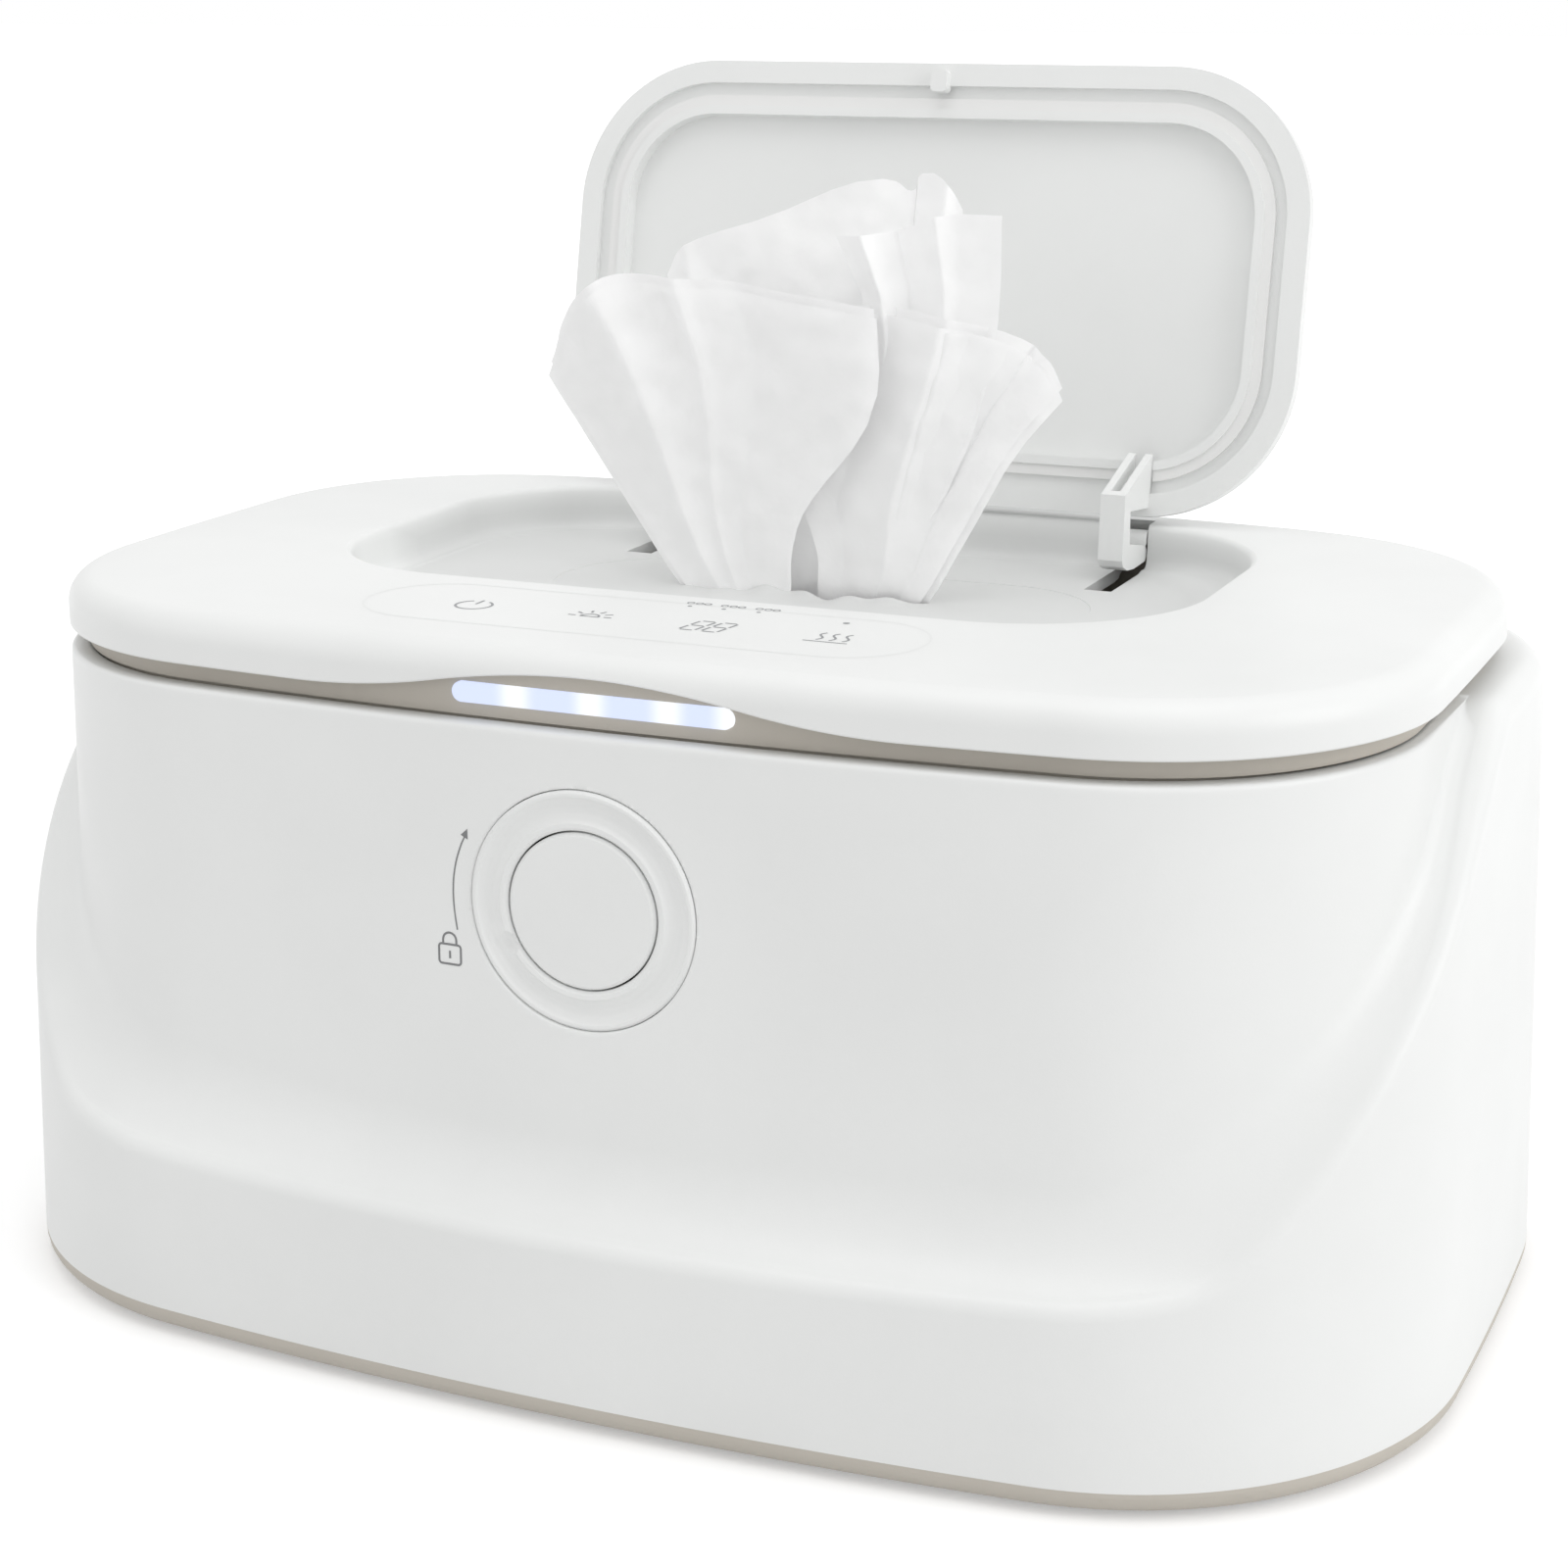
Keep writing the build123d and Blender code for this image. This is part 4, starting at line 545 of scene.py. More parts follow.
# basin wall as (inset from the rim, height)
WALL = ((0, 116.4), (0.2, 116.37), (0.5, 116.25), (0.85, 115.95), (1.1, 115.4), (1.2, 114.2), (1.3, 112.8))
WALL += ((1.4, 111.4), (1.55, 110.3), (1.85, 109.5), (2.4, 109.0), (3.2, WALL_FOOT))


def wave_rise(x):
    """How far the cover's lower edge rises over the light bar."""
    t = min(1.0, abs(x) / WAVE_HALF)
    return WAVE_HIGH * (1 - 2 * t * t if t < 0.5 else 2 * (1 - t) ** 2)


def cover_section(phi, out_0, out_10, rim_0, rim_10, mouth):
    """One section of the cover's skin, from inside its skirt over the top and down to the mouth."""
    out = lambda d: out_0 - d * (out_0 - out_10) / 10
    rim = lambda d: rim_0 - d * (rim_0 - rim_10) / 10
    edge = lambda s: EDGE_R * (1 - sqrt(max(0.0, 1 - s * s)))
    low = COVER_LOW
    if MOUTH_Y + out_0 * sin(phi) < FRONT_Y:
        low += wave_rise(out_0 * cos(phi))
    # the wave may cut into the rounded edge, which then starts part of the way up
    straight_top = TOP - EDGE_R
    foot = low + SKIRT_OUT
    start = max(0.0, (foot - straight_top) / EDGE_R)
    skirt = edge(start)
    inner = out(skirt + SKIRT_W + SKIRT_IN)
    pts = [(inner, SKIRT_TOP), (inner, low + SKIRT_IN)]
    pts += [(out(skirt + SKIRT_W), low), (out(skirt + SKIRT_OUT), low)]
    pts += [(out(skirt), z) for z in spaced(foot, max(straight_top, foot), 5)]
    for a in spaced(np.arcsin(start), pi / 2, 15)[1:]:
        pts.append((out(EDGE_R * (1 - cos(a))), straight_top + EDGE_R * sin(a)))
    pts += [(r, TOP) for r in spaced(out(EDGE_R), rim_0, 11)[1:-1]]
    end = smooth_step((rim_0 * cos(phi) - SHELF_X) / SHELF_RUN)
    shelf = WALL_FOOT + SHELF_RISE * end
    pts += [(rim(d), shelf + (z - WALL_FOOT) * (TOP - shelf) / (TOP - WALL_FOOT)) for d, z in WALL]
    wall_inset, strip = WALL[-1][0], FILLET_W + (SHELF_W - FILLET_W) * end
    for t in spaced(0, 1, 11)[1:]:
        above = (shelf - BASIN_FLOOR) * (1 - smooth_step((t - FLAT_SHARE) / (1 - FLAT_SHARE)))
        pts.append((rim(wall_inset + strip * t), BASIN_FLOOR + above))
    pts += [(r, BASIN_FLOOR) for r in spaced(pts[-1][0], mouth, 9)[1:]]
    return pts + [(mouth - 0.1, BASIN_FLOOR - 0.1), (mouth - 0.15, BASIN_FLOOR - 0.6)]


def cut_arm_slot(bm, arm_x):
    """Slot for one of the lid's arms, with short walls."""
    x0, x1 = arm_x - SLOT_W / 2, arm_x + SLOT_W / 2

    def within(c, side_room, front_room, rear_room):
        """Whether a place is in the slot or within some room round it."""
        return x0 - side_room < c.x < x1 + side_room and SLOT_Y0 - front_room < c.y < SLOT_Y1 + rear_room

    sides = [((x, 0, 0), (1, 0, 0)) for x in (x0, x1)] + [((0, y, 0), (0, 1, 0)) for y in (SLOT_Y0, SLOT_Y1)]
    for place, normal in sides:
        near = [f for f in bm.faces if within(f.calc_center_median(), *SLOT_NEAR)]
        near = list({e for f in near for e in f.edges}) + list({v for f in near for v in f.verts}) + near
        bmesh.ops.bisect_plane(bm, geom=near, plane_co=place, plane_no=normal, dist=1e-5)
    inside = lambda c: within(c, 1e-3, 1e-3, 1e-3)
    doomed = [f for f in bm.faces if inside(f.calc_center_median())]
    bmesh.ops.delete(bm, geom=doomed, context="FACES")
    around = [e for e in bm.edges if e.is_boundary and all(inside(v.co) for v in e.verts)]
    for v in new_verts(bmesh.ops.extrude_edge_only(bm, edges=around)):
        # where the slot runs up the basin's rear wall, its own wall goes back as well as down
        v.co.y += WALL_BACK if v.co.z > ON_WALL else 0.0
        v.co.z -= SLOT_DEPTH


def cover_mesh():
    angles = np.linspace(0, 2 * pi, 1200, endpoint=False)
    centre = (0.0, MOUTH_Y)
    mouth_r = MOUTH_HALF_Y - 0.001  # a hair less than half its width
    mouth = (-MOUTH_HALF_X, MOUTH_HALF_X, MOUTH_Y - MOUTH_HALF_Y, MOUTH_Y + MOUTH_HALF_Y, mouth_r, mouth_r)
    rim_10 = [v + d for v, d in zip(BASIN_RIM, (10, -10, 10, -10, -10, -10))]
    reaches = [oval_reach(outline, angles, centre) for outline in (COVER, inset(COVER, 10.0))]
    reaches += [ring_reach(rounded_outline(*o), angles, centre) for o in (BASIN_RIM, rim_10, mouth)]
    bm = bmesh.new()
    grid = []
    for phi, reach in zip(angles, zip(*reaches)):
        c, s = cos(phi), sin(phi)
        grid.append([bm.verts.new((r * c, MOUTH_Y + r * s, z)) for r, z in cover_section(phi, *reach)])
    quads(bm, grid, closed=True)
    bmesh.ops.remove_doubles(bm, verts=bm.verts, dist=0.003)
    bmesh.ops.recalc_face_normals(bm, faces=bm.faces)
    for side in (-1, 1):
        cut_arm_slot(bm, side * ARM_X)
    return bm


def paint_depth_shade(m, top, low, tone):
    """Paints shade into a plastic's colour: multiplies it by a grey tone that sets in with depth between two
    heights.
    """
    tree = m.node_tree
    shader = principled(tree)
    colour = shader.inputs["Base Color"].links[0].from_socket
    split = add_node(tree, "SeparateXYZ", {"Vector": object_place(tree)})

    def share(axis, dark, bright):
        limits = {"Value": split.outputs[axis], "From Min": dark, "From Max": bright}
        return add_node(tree, "MapRange", limits).outputs["Result"]

    # the left end wall, which faces the light, keeps the top's tone
    end_wall = maths(tree, "MULTIPLY", share("X", -0.073, -0.077), share("Y", 0.016, 0.006))
    lit = maths(tree, "MAXIMUM", share("Z", low, top), end_wall)
    shade = add_node(tree, "Mix", {"Factor": lit, "A": grey(tone), "B": grey(1)}, data_type="RGBA")
    both = {"Factor": 1.0, "A": colour, "B": shade.outputs["Result"]}
    product = add_node(tree, "Mix", both, data_type="RGBA", blend_type="MULTIPLY")
    feed(shader, {"Base Color": product.outputs["Result"]})
    return m


# the basin's plastic is a little rougher than the top, and painted shade darkens its colour with depth
recess_white_shaded = plastic("recess_abs_painted_shade", abs_colour, 0.5, 2600.0, 0.00003)
recess_white_shaded = paint_depth_shade(recess_white_shaded, top=0.1162, low=0.1125, tone=0.86)
cover_skin = finish_mesh(cover_mesh(), "cover_skin", white, recalc=False)
cover_skin.data.materials.append(recess_white_shaded)
x0, x1, y0, y1 = BASIN_RIM[:4]
room = 0.9  # the arm slots reach a little past the rim
# faces in the basin take the material with the painted shade
for face in cover_skin.data.polygons:
    c = face.center / MM
    over_basin = x0 - room < c.x < x1 + room and y0 - room < c.y < y1 + room
    if over_basin and (c.z < TOP - 0.01 or abs(face.normal.z) < 0.999):
        face.material_index = 1
cover_skin.data.set_sharp_from_angle(angle=radians(40))
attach(cover_skin, "cover")
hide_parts("top_cover")

# ---------------- supply lead (metres)

LEAD_R = 0.0015
COIL_X, COIL_Y = -0.078, 0.122
COLUMN_RADII = (0.021, 0.018, 0.015)  # the coil's turns lie in three columns and three layers
TURNS, STEPS = 9, 14
LAY = 0.0021  # height of the lead's middle where it lies on the floor
EXIT_X, EXIT_Z = -0.034, 0.015
PLUG_X, PLUG_Y, PLUG_Z = COIL_X - 0.040, COIL_Y - 0.004, 0.0038
side_y = COIL_Y + 0.94 * COLUMN_RADII[1]
start_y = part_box("micro_usb_plug")[1].y


def turn_place(turn):
    """Radius and height of a turn: one layer goes inward, the next outward."""
    layer = min(2, turn // 3)
    radii = COLUMN_RADII if layer % 2 == 0 else COLUMN_RADII[::-1]
    return np.array((radii[turn % 3], LAY + 2 * LEAD_R * layer))


route = [
    (EXIT_X, start_y, EXIT_Z),
    (EXIT_X, start_y + 0.0088, EXIT_Z),
    (EXIT_X - 0.001, start_y + 0.0206, 0.0034),
    (COIL_X + 0.0315, side_y, LAY),
    (COIL_X + 0.021, side_y, LAY),
]
for k in range(1, TURNS * STEPS):
    t = k / STEPS
    # a turn keeps its radius for most of the way round and steps to the next near its end
    blend = max(0.0, (t % 1 - 0.75) / 0.25)
    r, z = turn_place(int(t)) * (1 - blend) + turn_place(int(t) + 1) * blend
    a = pi / 2 + 0.35 + 2 * pi * t * (TURNS - 0.11) / TURNS
    route.append((COIL_X + r * cos(a), COIL_Y + r * sin(a), z))
route += [
    (COIL_X - 0.021, side_y, LAY),
    (COIL_X - 0.032, side_y, LAY),
    (PLUG_X, PLUG_Y + 0.009, PLUG_Z),
    (PLUG_X, PLUG_Y, PLUG_Z),
]
curve = bpy.data.curves.new("usb_lead", "CURVE")
curve.dimensions = "3D"
spline = curve.splines.new("NURBS")
spline.points.add(len(route) - 1)
for point, p in zip(spline.points, route):
    point.co = (*p, 1.0)
spline.order_u = 3
spline.use_endpoint_u = True
curve.bevel_depth = LEAD_R
curve.bevel_resolution = 6
curve.resolution_u = 6
curve.use_fill_caps = True
curve.materials.append(lead_white)
usb_lead = new_object("usb_lead", curve)
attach(usb_lead, "housing")
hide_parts("usb_cable", "usb_cable_coil")

# ---------------- wipe pulled up through the gate (mm)

WIPE_Y = 15.2  # the gate's slot
SLOT_LEFT, SLOT_RIGHT, SLOT_LOW = -19.5, 15.5, 105.8
CLOTH_COLUMNS, CLOTH_ROWS = 90, 70


def along(points, count):
    """Points spaced evenly along a polyline after one round of corner cutting."""
    p = [np.array(q, float) for q in points]
    cut = [p[0]]
    for a, b in zip(p, p[1:]):
        cut += [a * 0.78 + b * 0.22, a * 0.22 + b * 0.78]
    p = np.array(cut + [p[-1]])
    s = np.concatenate(([0], np.cumsum(np.linalg.norm(np.diff(p, axis=0), axis=1))))
    t = np.linspace(0, s[-1], count)
    return np.stack([np.interp(t, s, p[:, k]) for k in (0, 1)], axis=1)


def cloth_patch(bm, left, right, top, depth, shift=(0.0, 0.0, 0.0)):
    """Fan of cloth between two side edges in (x, z); depth(u, v, x, z) gives its y."""
    dx, dy, dz = shift
    lo, hi = along(left, CLOTH_ROWS + 1), along(right, CLOTH_ROWS + 1)
    crown = along(top, CLOTH_COLUMNS + 1)
    grid = []
    for j in range(CLOTH_ROWS + 1):
        v = j / CLOTH_ROWS
        line = []
        for i in range(CLOTH_COLUMNS + 1):
            u = i / CLOTH_COLUMNS
            # the sides' blend, bent at the top to follow the crown
            straight = (1 - u) * lo[-1] + u * hi[-1]
            x, z = (1 - u) * lo[j] + u * hi[j] + v * (crown[i] - straight)
            line.append(bm.verts.new((x + dx, depth(u, v, x, z) + dy, z + dz * v)))
        grid.append(line)
    quads(bm, grid)


def ridge(t, width):
    """A fold's section: steep in front, long behind."""
    t = t / width
    return np.exp(-abs(t) ** 1.3 * (1.0 if t < 0 else 2.2))


def crinkle(x, y, z, size):
    return noise.noise(Vector((x / size, y / size, z / size)))


def front_left(u, v, x, z):
    swell = v**0.8
    y = WIPE_Y - 1.2 - 1.6 * swell
    y += 5.5 * (1 - u) ** 2 * v**1.5  # wing swept back
    y -= 3.6 * swell * ridge(u - 0.30 + 0.05 * v, 0.11)
    y -= 1.5 * swell * ridge(u - 0.47, 0.05)
    y += 1.6 * swell * ridge(u - 0.62, 0.13)
    y -= 1.8 * v**0.5 * ridge(u - 0.97, 0.20)
    return y + 0.9 * swell * crinkle(x, 0, z, 16.0) + 0.35 * crinkle(x, 7, z, 5.0)


def front_right(u, v, x, z):
    swell = v**0.8
    y = WIPE_Y + 0.6 - 1.0 * swell
    y += 1.4 * swell * ridge(u - 0.22, 0.16)
    y -= 3.2 * swell * ridge(u - 0.60 + 0.12 * v, 0.13)
    y += 2.2 * swell * ridge(u - 0.80, 0.08)
    y += 4.5 * u**3 * v**1.5
    return y + 0.9 * swell * crinkle(x, 3, z, 14.0) + 0.35 * crinkle(x, 9, z, 5.0)


def back_wide(u, v, x, z):
    y = WIPE_Y + 3.2 + 1.6 * v
    y += 1.4 * v * sin(7.0 * u + 1.0)
    y += 2.4 * v**3 * ridge(u - 0.80, 0.05)
    y -= 1.8 * v**2 * ridge(u - 0.92, 0.06)
    y -= 1.6 * v**2 * ridge(u - 0.10, 0.06)
    return y + 1.1 * v * crinkle(x, 5, z, 11.0) + 0.5 * v * crinkle(x, 2, z, 4.0)


def back_right(u, v, x, z):
    y = WIPE_Y + 1.6 + 0.8 * v
    y -= 2.6 * v * ridge(u - 0.17, 0.10)
    y += 1.4 * v * ridge(u - 0.34, 0.08)
    y -= 1.8 * v * ridge(u - 0.62, 0.12)
    return y + 0.7 * v * crinkle(x, 8, z, 12.0) + 0.3 * crinkle(x, 4, z, 5.0)


# edges in (x, z), from the gate up, and crowns from left to right
FRONT_LEFT = (
    [(SLOT_LEFT, SLOT_LOW), (-23.7, 108.6), (-33.2, 121.5), (-42.4, 133.7), (-50.4, 143.8)],
    [(-4.0, SLOT_LOW), (-3.4, 110.0), (-3.1, 116.0), (-1.6, 121.7), (1.8, 126.8), (10.6, 136.9)]
    + [(13.8, 145.9), (13.0, 156.5)],
    [(-50.4, 143.8), (-49.0, 146.7), (-47.8, 150.3), (-44.2, 155.0), (-41.0, 157.2), (-37.1, 159.9)]
    + [(-30.9, 160.3), (-22.6, 159.6), (-15.8, 159.8), (-6.2, 158.6), (4.0, 157.7), (13.0, 156.5)],
)
FRONT_RIGHT = (
    [(0.2, SLOT_LOW), (0.6, 110.0), (0.7, 115.0), (-0.6, 119.5), (-2.5, 124.0), (-1.0, 132.0)]
    + [(1.5, 141.0), (3.0, 148.0), (3.0, 156.4)],
    [(SLOT_RIGHT, SLOT_LOW), (19.5, 108.6), (26.5, 121.7), (33.4, 135.0), (40.9, 144.2)],
    [(3.0, 156.4), (10.0, 156.9), (18.4, 156.1), (26.2, 154.8), (33.2, 152.8), (38.1, 149.4)]
    + [(39.5, 147.9), (40.9, 144.2)],
)
BACK_WIDE = (
    [(-12.0, SLOT_LOW), (-18.0, 122.0), (-25.0, 142.0), (-29.4, 161.0)],
    [(12.0, SLOT_LOW), (17.0, 122.0), (22.0, 146.0), (24.0, 173.5)],
    [(-29.4, 161.0), (-27.4, 165.5), (-22.0, 168.0), (-10.0, 171.4), (4.7, 177.6), (12.3, 178.5)]
    + [(15.0, 175.6), (16.2, 179.2), (20.8, 179.6), (24.0, 173.5)],
)
BACK_RIGHT = (
    [(4.0, 112.0), (8.0, 135.0), (9.1, 156.8), (3.3, 169.0)],
    [(14.0, 112.0), (26.0, 132.0), (31.7, 151.2), (32.3, 173.2)],
    [(3.3, 169.0), (10.5, 169.5), (16.3, 170.8), (22.6, 173.3), (32.3, 173.2)],
)


def front_cloth():
    """Both halves of the front, each in three plies that stand a little apart at the top."""
    bm = bmesh.new()
    for shift in ((0.0, 0.0, 0.0), (-1.3, 0.7, -0.91), (-1.0, 1.3, 1.4)):
        cloth_patch(bm, *FRONT_LEFT, front_left, shift)
    for shift in ((0.0, 0.0, 0.0), (1.2, 0.7, -0.84), (0.9, 1.3, 1.19)):
        cloth_patch(bm, *FRONT_RIGHT, front_right, shift)
    return bm


def back_cloth():
    bm = bmesh.new()
    cloth_patch(bm, *BACK_WIDE, back_wide)
    cloth_patch(bm, *BACK_RIGHT, back_right)
    return bm


# the front is one wipe folded in plies, the back the next one's end
for name, build, flat in (("wipe_front", front_cloth, (0.2, 0.15)), ("wipe_back", back_cloth, (0.12, 0.09))):
    cloth = finish_mesh(build(), name, wipe_cloth)
    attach(cloth, "cover")
    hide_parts("wipe_tuft")
    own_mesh(cloth)

# ---------------- printed marks (mm)


def stroke(bm, points, width, place, closed=False):
    """Flat ribbon along a 2-D path; place(a, b) puts a path point on the surface."""
    pts = [Vector(p) for p in points]
    n = len(pts)
    rows = []
    for i, p in enumerate(pts):
        before = pts[(i - 1) % n] if closed or i else p
        after = pts[(i + 1) % n] if closed or i < n - 1 else p
        d = (after - before).normalized()
        side = Vector((-d.y, d.x)) * width / 2
        rows.append([bm.verts.new(place(*(p + side))), bm.verts.new(place(*(p - side)))])
    quads(bm, rows, closed)


def disc(bm, cx, cy, r, place, n):
    bm.faces.new([bm.verts.new(place(x, y)) for x, y in circle(cx, cy, r, n)])


def seven(bm, x, y, w, h, place, width):
    """Figure eight of a seven-segment display, leaning a little."""
    lean = 0.16
    at = lambda a, b: (x + a * w + b * h * lean, y + b * h)
    for b in (0, 0.5, 1):
        stroke(bm, [at(0.12, b), at(0.88, b)], width, place)
    for a in (0, 1):
        for low in (0.06, 0.56):
            stroke(bm, [at(a, low), at(a, low + 0.38)], width, place)


def touch_marks():
    """Power, lamp, two digits and heat waves in a row, with three small steps behind it."""
    bm = bmesh.new()
    y = -45.0
    # power
    x = -32.0
    stroke(bm, arc_path(x, y, 2.9, 118, 422, 34), 0.42, on_top)
    stroke(bm, [(x, y + 0.6), (x, y + 3.4)], 0.42, on_top)
    # lamp: small dome with rays
    x = -11.6
    stroke(bm, arc_path(x, y - 0.4, 1.5, 0, 180, 14), 0.4, on_top)
    stroke(bm, [(x - 1.6, y - 0.5), (x + 1.6, y - 0.5)], 0.38, on_top)
    for a in range(0, 181, 36):
        c, s = cos(radians(a)), sin(radians(a))
        stroke(bm, [(x + r * c, y - 0.3 + r * s) for r in (2.4, 3.7)], 0.4, on_top)
    # two display digits
    for x in (4.7, 8.4):
        seven(bm, x, y - 3.0, 2.6, 6.2, on_top, 0.42)
    # heat: three waves over a line, with a lamp's dot behind
    for x in (26.6, 28.7, 30.8):
        wave = [(x + 0.55 * sin(2 * pi * t), y - 1.6 + 4.6 * t) for t in spaced(0, 1, 15)]
        stroke(bm, wave, 0.38, on_top)
    stroke(bm, [(24.9, y - 2.6), (32.0, y - 2.6)], 0.34, on_top)
    disc(bm, 26.7, -34.9, 0.55, on_top, 16)
    # three small temperature steps, each a short figure over a tick
    for x in (0.3, 6.1, 12.0):
        for dx in (-1.5, 0.0, 1.4):
            stroke(bm, circle(x + dx, -30.8, 0.55, 12), 0.26, on_top, closed=True)
        disc(bm, x - 0.7, -33.0, 0.38, on_top, 10)
    return bm


INK = 0.03  # how far the marks stand off the cover
on_top = lambda a, b: (a, b, TOP + INK)
mark_grey = plastic("mark_ink", srgb(150, 152, 154), 0.5, 900.0, 0.00001, vary=0.05)
marks = finish_mesh(touch_marks(), "touch_marks", mark_grey, smooth=False)
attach(marks, "cover")

# faint capsule round the touch row, a pale grey line of painted shade standing in for its slight relief
# outline
bm = bmesh.new()
capsule_path = rounded_outline(-50.5, 43.0, -56.5, -31.5, 12.4, 12.4, 14)
stroke(bm, capsule_path, 0.4, lambda a, b: (a, b, TOP + INK / 2), closed=True)
capsule_shade_grey = plastic("capsule_painted_shade", srgb(232, 233, 232), 0.5, 900.0, 0.00001)
capsule = finish_mesh(bm, "touch_capsule", capsule_shade_grey, smooth=False)
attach(capsule, "cover")


def on_front(x, z):
    """Just in front of the recessed wall at a place seen from the front."""
    length, width, end_r, side_r, corner_r = RECESS
    radius = side_r + (BODY_TOP - z) * RECESS_SLOPE
    return (x, side_r - width / 2 - sqrt(radius**2 - x * x) - 0.04, z)


def padlock_and_arrow():
    """Padlock with an arc and an arrow head over it, left of the lock ring."""
    bm = bmesh.new()
    x = -22.5
    stroke(bm, rounded_outline(x - 1.9, x + 1.9, 67.3, 70.4, 0.5, 0.5, 5), 0.34, on_front, closed=True)
    shackle = [(x - 1.15, 70.4)] + arc_path(x, 71.1, 1.15, 180, 0, 14) + [(x + 1.15, 70.4)]
    stroke(bm, shackle, 0.34, on_front)
    stroke(bm, [(x, 68.2), (x, 69.4)], 0.34, on_front)
    arrow = [(-21.1, 72.9), (-21.5, 75.5), (-21.7, 78.2), (-21.6, 80.9), (-21.1, 83.6), (-20.2, 86.2)]
    arrow.append((-19.5, 87.6))
    stroke(bm, along(arrow, 24), 0.24, on_front)
    bm.faces.new([bm.verts.new(on_front(*q)) for q in ((-19.0, 88.9), (-20.15, 87.85), (-18.95, 87.25))])
    return bm


ink_dark = plastic("lock_ink", srgb(128, 129, 130), 0.5, 900.0, 0.00001, vary=0.05)
lock_marks = finish_mesh(padlock_and_arrow(), "lock_marks", ink_dark, smooth=False)
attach(lock_marks, "housing")

# ---------------- coil spring behind the button (mm)

WIRE, COIL_R, COILS, PRESS = 0.5, 4.2, 5, 2.5
COIL_STEPS, WIRE_SIDES = 28, 12
low, high = (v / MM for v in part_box("button_spring"))
bm = bmesh.new()
rows = []
for t in spaced(0, 1, COILS * COIL_STEPS + 1):
    a = 2 * pi * COILS * t
    out = Vector((cos(a), 0, sin(a)))
    centre = Vector((0, low.y + WIRE + (high.y - low.y - 2 * WIRE) * t, KNOB_Z)) + out * COIL_R
    round_wire = [2 * pi * i / WIRE_SIDES for i in range(WIRE_SIDES)]
    rows.append([bm.verts.new(centre + (out * cos(b) + Vector((0, sin(b), 0))) * WIRE) for b in round_wire])
quads(bm, rows, wrap=True)
bm.faces.new(rows[0][::-1])
bm.faces.new(rows[-1])
coil = finish_mesh(bm, "spring_coil", steel)
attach(coil, "housing")
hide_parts("button_spring")
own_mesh(coil)

# ---------------- finger pip on the lock ring (mm)

PIP_X, PIP_Z, PIP_R, PIP_H = -13.8, KNOB_Z - 5.5, 2.3, 0.4
PIP_SIDES, PIP_RINGS = 36, 8
ring_mesh = nodes["lock_ring"].data
ring_faces = [tuple(p.vertices) for p in ring_mesh.polygons]
ring_tree = BVHTree.FromPolygons([v.co / MM for v in ring_mesh.vertices], ring_faces)
bm = bmesh.new()
rows = []
for k in range(PIP_RINGS + 1):
    r = PIP_R * (k + 0.02) / PIP_RINGS
    rise = PIP_H * (1 - (r / PIP_R) ** 2) ** 2
    sunk = 0.02 if k == PIP_RINGS else 0.0  # the pip's edge ends under the ring's face
    row = []
    for x, z in circle(PIP_X, PIP_Z, r, PIP_SIDES):
        face_y = ring_tree.ray_cast(Vector((x, -120, z)), Vector((0, 1, 0)))[0].y
        row.append(bm.verts.new((x, face_y - rise + sunk, z)))
    rows.append(row)
bm.faces.new(rows[0])
quads(bm, rows, wrap=True)
pip = finish_mesh(bm, "ring_pip", ring_white)
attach(pip, "lock_ring")

# ---------------- lid arms (mm)

GROOVE = 1.7  # width of the groove along an arm's top
PIN_Y, PIN_Z, PIN_BOSS_R = 58.6, 113.5, 1.8
# outlines in (y, z)
tail = [(43.2, 112.6), (43.9, 111.4), (46.3, 110.4), (50.0, 110.0), (56.5, 110.1), (59.2, 111.5)]
tail += [(PIN_Y, PIN_Z), (57.0, 112.9), (47.4, 114.8), (47.4, 120.6), (58.2, 119.4)]
flange = [(59.9, 128.6), (44.2, 123.9)] + tail
web = [(59.9, 126.2), (46.4, 122.2), (45.7, 124.35), (44.2, 123.9)] + tail


def slab_between(bm, outline, x0, x1):
    """Closed block from a (y, z) outline between two planes of x."""
    a, b = ([bm.verts.new((x, y, z)) for y, z in outline] for x in (x0, x1))
    bm.faces.new(a)
    bm.faces.new(b[::-1])
    quads(bm, [a, b], wrap=True)


bm = bmesh.new()
for side in (-1, 1):
    x = side * ARM_X
    slab_between(bm, flange, x - ARM_W / 2, x - GROOVE / 2)
    slab_between(bm, web, x - GROOVE / 2, x + GROOVE / 2)
    slab_between(bm, flange, x + GROOVE / 2, x + ARM_W / 2)
    slab_between(bm, circle(PIN_Y, PIN_Z, PIN_BOSS_R, 28), x - ARM_W / 2, x + ARM_W / 2)
bmesh.ops.remove_doubles(bm, verts=bm.verts, dist=1e-4)
arms = finish_mesh(bm, "lid_arm_channels", white, smooth=False)
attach(arms, "flip_lid")
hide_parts("lid_arms")

# ---------------- hinge lugs on the rear ledge (mm)

HINGE_Y, HINGE_Z, LUG_HALF, LUG_FOOT = 75.8, 108.3, 3.0, 104.6
arch = [(HINGE_Y - LUG_HALF, LUG_FOOT), (HINGE_Y + LUG_HALF, LUG_FOOT)]
arch += arc_path(HINGE_Y, HINGE_Z, LUG_HALF, 0, 180, 16)
bm = bmesh.new()
for lug_x in (-54.9, -41.1, 41.1, 54.9):
    slab_between(bm, arch, lug_x - LUG_HALF, lug_x + LUG_HALF)
lugs = finish_mesh(bm, "housing_lugs", white, smooth=False)
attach(lugs, "housing")
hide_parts("outer_shell")

# ---------------- metal shell of the supply plug (mm)

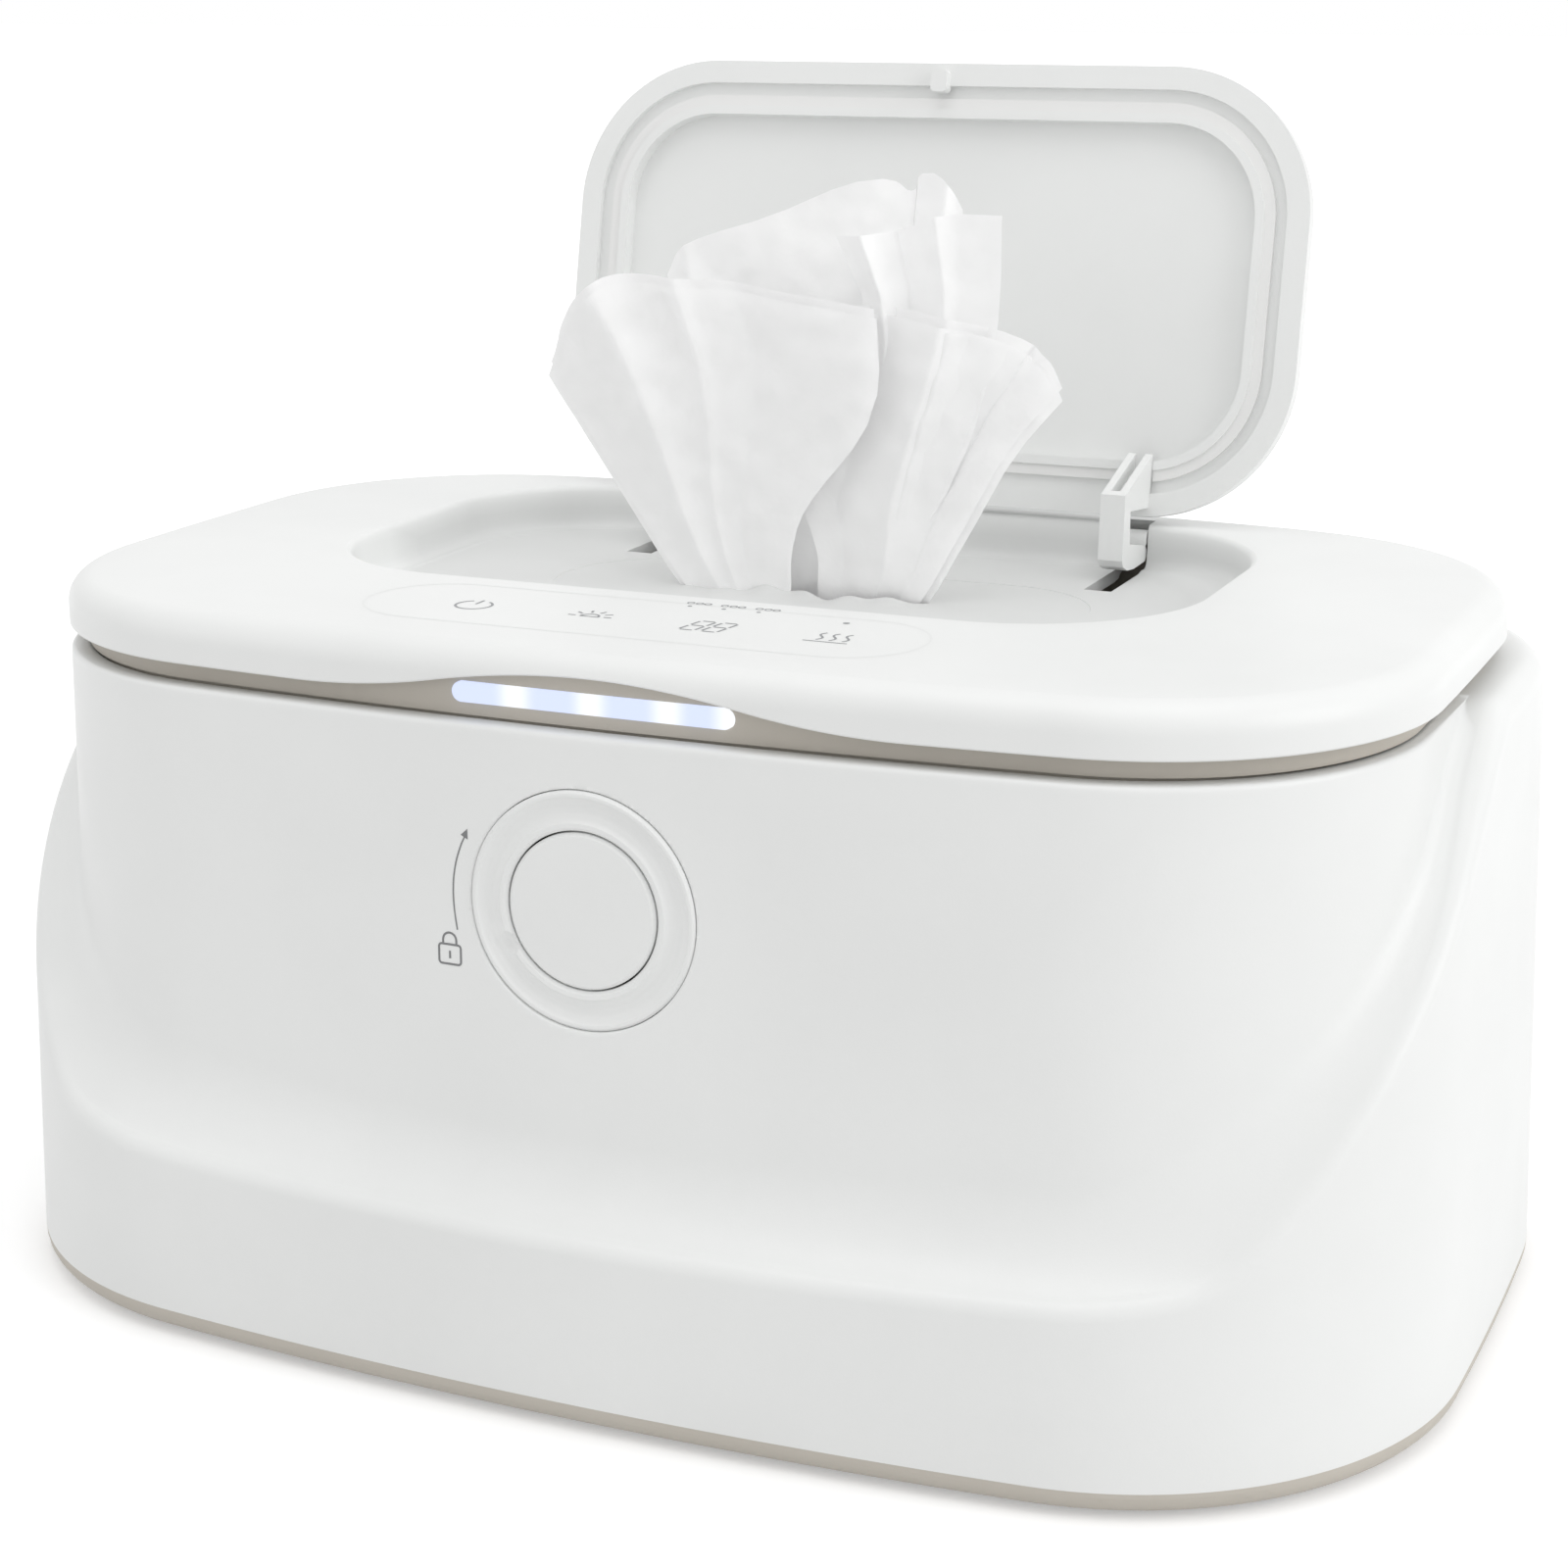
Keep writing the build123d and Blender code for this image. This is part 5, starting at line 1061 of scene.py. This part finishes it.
SHELL_W, SHELL_H, SHELL_L = 12.0, 4.5, 12.0
SHELL_Z = PLUG_Z / MM
WINDOW_X, WINDOW_HALF = 2.64, 1.2  # two square windows in each broad side
LOOSE = 0.06  # how far the shell stands off the plug's own
low, high = (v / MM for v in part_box("usb_a_plug"))
mid_x, mid_y = (low.x + high.x) / 2, low.y + SHELL_L * 0.48
x0, x1 = mid_x - SHELL_W / 2 - LOOSE, mid_x + SHELL_W / 2 + LOOSE
z0, z1 = SHELL_Z - SHELL_H / 2 - LOOSE, SHELL_Z + SHELL_H / 2 + LOOSE
y0, y1 = low.y - 0.05, low.y + SHELL_L
xs = [x0] + [mid_x + a * WINDOW_X + b * WINDOW_HALF for a in (-1, 1) for b in (-1, 1)] + [x1]
ys = [y0, mid_y - WINDOW_HALF, mid_y + WINDOW_HALF, y1]
bm = bmesh.new()
for z in (z1, z0):
    verts = [[bm.verts.new((x, y, z)) for y in ys] for x in xs]
    for i in range(5):
        for j in range(3):
            if (i, j) not in ((1, 1), (3, 1)):
                bm.faces.new((verts[i][j], verts[i + 1][j], verts[i + 1][j + 1], verts[i][j + 1]))
for x in (x0, x1):
    bm.faces.new([bm.verts.new(p) for p in ((x, y0, z0), (x, y1, z0), (x, y1, z1), (x, y0, z1))])
bmesh.ops.remove_doubles(bm, verts=bm.verts, dist=1e-4)
bmesh.ops.recalc_face_normals(bm, faces=bm.faces)
bmesh.ops.solidify(bm, geom=bm.faces[:], thickness=0.05)
shell = finish_mesh(bm, "usb_a_shell", steel, smooth=False, recalc=False)
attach(shell, "housing")

# ---------------- soft lips of the dispensing gate (mm)

LIP_HALF_X, LIP_HALF_Y, LIP_Z = 48.5, 19.5, 108.56
LIP_COLUMNS, LIP_ROWS = 150, 16
PULL_X = -2.2  # middle of the wipe where it comes through


def lip_gap(x):
    """Half the opening between the lips, wide where the wipe comes through."""
    t = (x - PULL_X) / 22.5
    return 2.6 * max(0.0, 1 - t * t) ** 0.5


def lip_rise(x, y):
    """Lift of a lip's edge where the wipe has pulled it up, with a few tongues."""
    t = (x - PULL_X) / 24.0
    near = max(0.0, 1 - (abs(y - MOUTH_Y) - lip_gap(x)) / 5.0)
    tongue = 0.4 + 0.35 * cos(x * 0.31 + (2.1 if y < MOUTH_Y else 0.0)) + 0.25 * cos(x * 0.83 + 0.6)
    return 1.7 * near**2 * max(0.0, 1 - t * t) * tongue


bm = bmesh.new()
for side in (-1, 1):
    grid = []
    for x in spaced(-LIP_HALF_X, LIP_HALF_X, LIP_COLUMNS + 1):
        over = max(0.0, abs(x) - (LIP_HALF_X - LIP_HALF_Y))
        edge = sqrt(max(0.0, LIP_HALF_Y**2 - over**2))
        inner = min(lip_gap(x), edge)
        ys = [MOUTH_Y + side * (inner + (edge - inner) * t**1.4) for t in spaced(0, 1, LIP_ROWS + 1)]
        grid.append([bm.verts.new((x, y, LIP_Z + lip_rise(x, y))) for y in ys])
    quads(bm, grid)
bmesh.ops.remove_doubles(bm, verts=bm.verts, dist=1e-4)
bmesh.ops.dissolve_degenerate(bm, edges=bm.edges, dist=1e-4)
bmesh.ops.recalc_face_normals(bm, faces=bm.faces)
if sum(f.normal.z for f in bm.faces) < 0:
    bmesh.ops.reverse_faces(bm, faces=bm.faces)
# the lips are darkened to the basin floor's painted shade round them
lip_silicone_shaded = plastic("lip_silicone_shaded", srgb(222, 223, 222), 0.5, 1200.0, 0.00004)
lips = finish_mesh(bm, "gate_lips", lip_silicone_shaded, recalc=False)
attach(lips, "cover")

# ---------------- stage, lights and camera

scene = bpy.context.scene
scene.view_settings.view_transform = "Standard"
scene.view_settings.look = "None"


def background_rays(tree):
    """1 for rays that show the background: camera, glossy and transmission."""
    path = add_node(tree, "LightPath")
    total = path.outputs["Is Camera Ray"]
    for kind in ("Is Glossy Ray", "Is Transmission Ray"):
        total = maths(tree, "MAXIMUM", total, path.outputs[kind])
    return total


FLOOR_HALF = 6.0
floor_mesh = bpy.data.meshes.new("floor")
corners = [(x * FLOOR_HALF, y * FLOOR_HALF, 0) for x, y in ((-1, -1), (1, -1), (1, 1), (-1, 1))]
floor_mesh.from_pydata(corners, [], [(0, 1, 2, 3)])
floor = new_object("floor", floor_mesh)
floor_white, tree, shader = new_material("floor_white")
# the floor is lifted to white only where it is seen, not where it lights the object
away = add_node(tree, "VectorMath", {0: object_place(tree)}, operation="LENGTH").outputs["Value"]
growth = {"Value": away, "From Min": 0.25, "From Max": 0.9, "To Min": 0.34, "To Max": 0.8}
lift = add_node(tree, "MapRange", growth).outputs["Result"]
feed(shader, {"Base Color": grey(0.8), "Roughness": 0.9, "Emission Color": grey(1)})
feed(shader, {"Emission Strength": maths(tree, "MULTIPLY", lift, background_rays(tree))})
floor_mesh.materials.append(floor_white)

world = bpy.data.worlds.new("studio")
scene.world = world
world.use_nodes = True
tree = world.node_tree
level = add_node(tree, "MapRange", {"Value": background_rays(tree), "To Min": 0.69, "To Max": 1.0})
feed(tree.nodes["Background"], {"Color": grey(1), "Strength": level.outputs["Result"]})


def area_light(name, location, target, size, power):
    """Soft square light aimed at a point."""
    data = bpy.data.lights.new(name, "AREA")
    data.shape = "RECTANGLE"
    data.size = data.size_y = size
    data.energy = power
    light = new_object(name, data)
    light.location = location
    light.rotation_euler = (Vector(target) - Vector(location)).to_track_quat("-Z", "Y").to_euler()


# place, aim, size and watts
area_light("key_right", (1.0, -0.13, 0.52), (0, 0, 0.08), 0.7, 3.2)
area_light("top", (0.02, -0.13, 1.1), (0, 0, 0.12), 0.9, 2.8)
area_light("fill_left", (-0.9, -0.9, 0.6), (0, 0, 0.06), 0.8, 0.8)

# the camera that took the photograph: its right and up directions, place, lens and shift
camera_data = bpy.data.cameras.new("camera")
camera = new_object("camera", camera_data)
right = Vector((0.91588, 0.40143, -0.00497))
up = Vector((-0.10156, 0.24365, 0.96453))
place = Vector((0.19702, -0.44786, 0.21754))
camera.matrix_world = Matrix.Translation(place) @ Matrix((right, up, right.cross(up))).transposed().to_4x4()
camera_data.sensor_width = 36.0
camera_data.lens = 69.34
camera_data.shift_x = 0.0035
camera_data.shift_y = -0.0167
scene.camera = camera
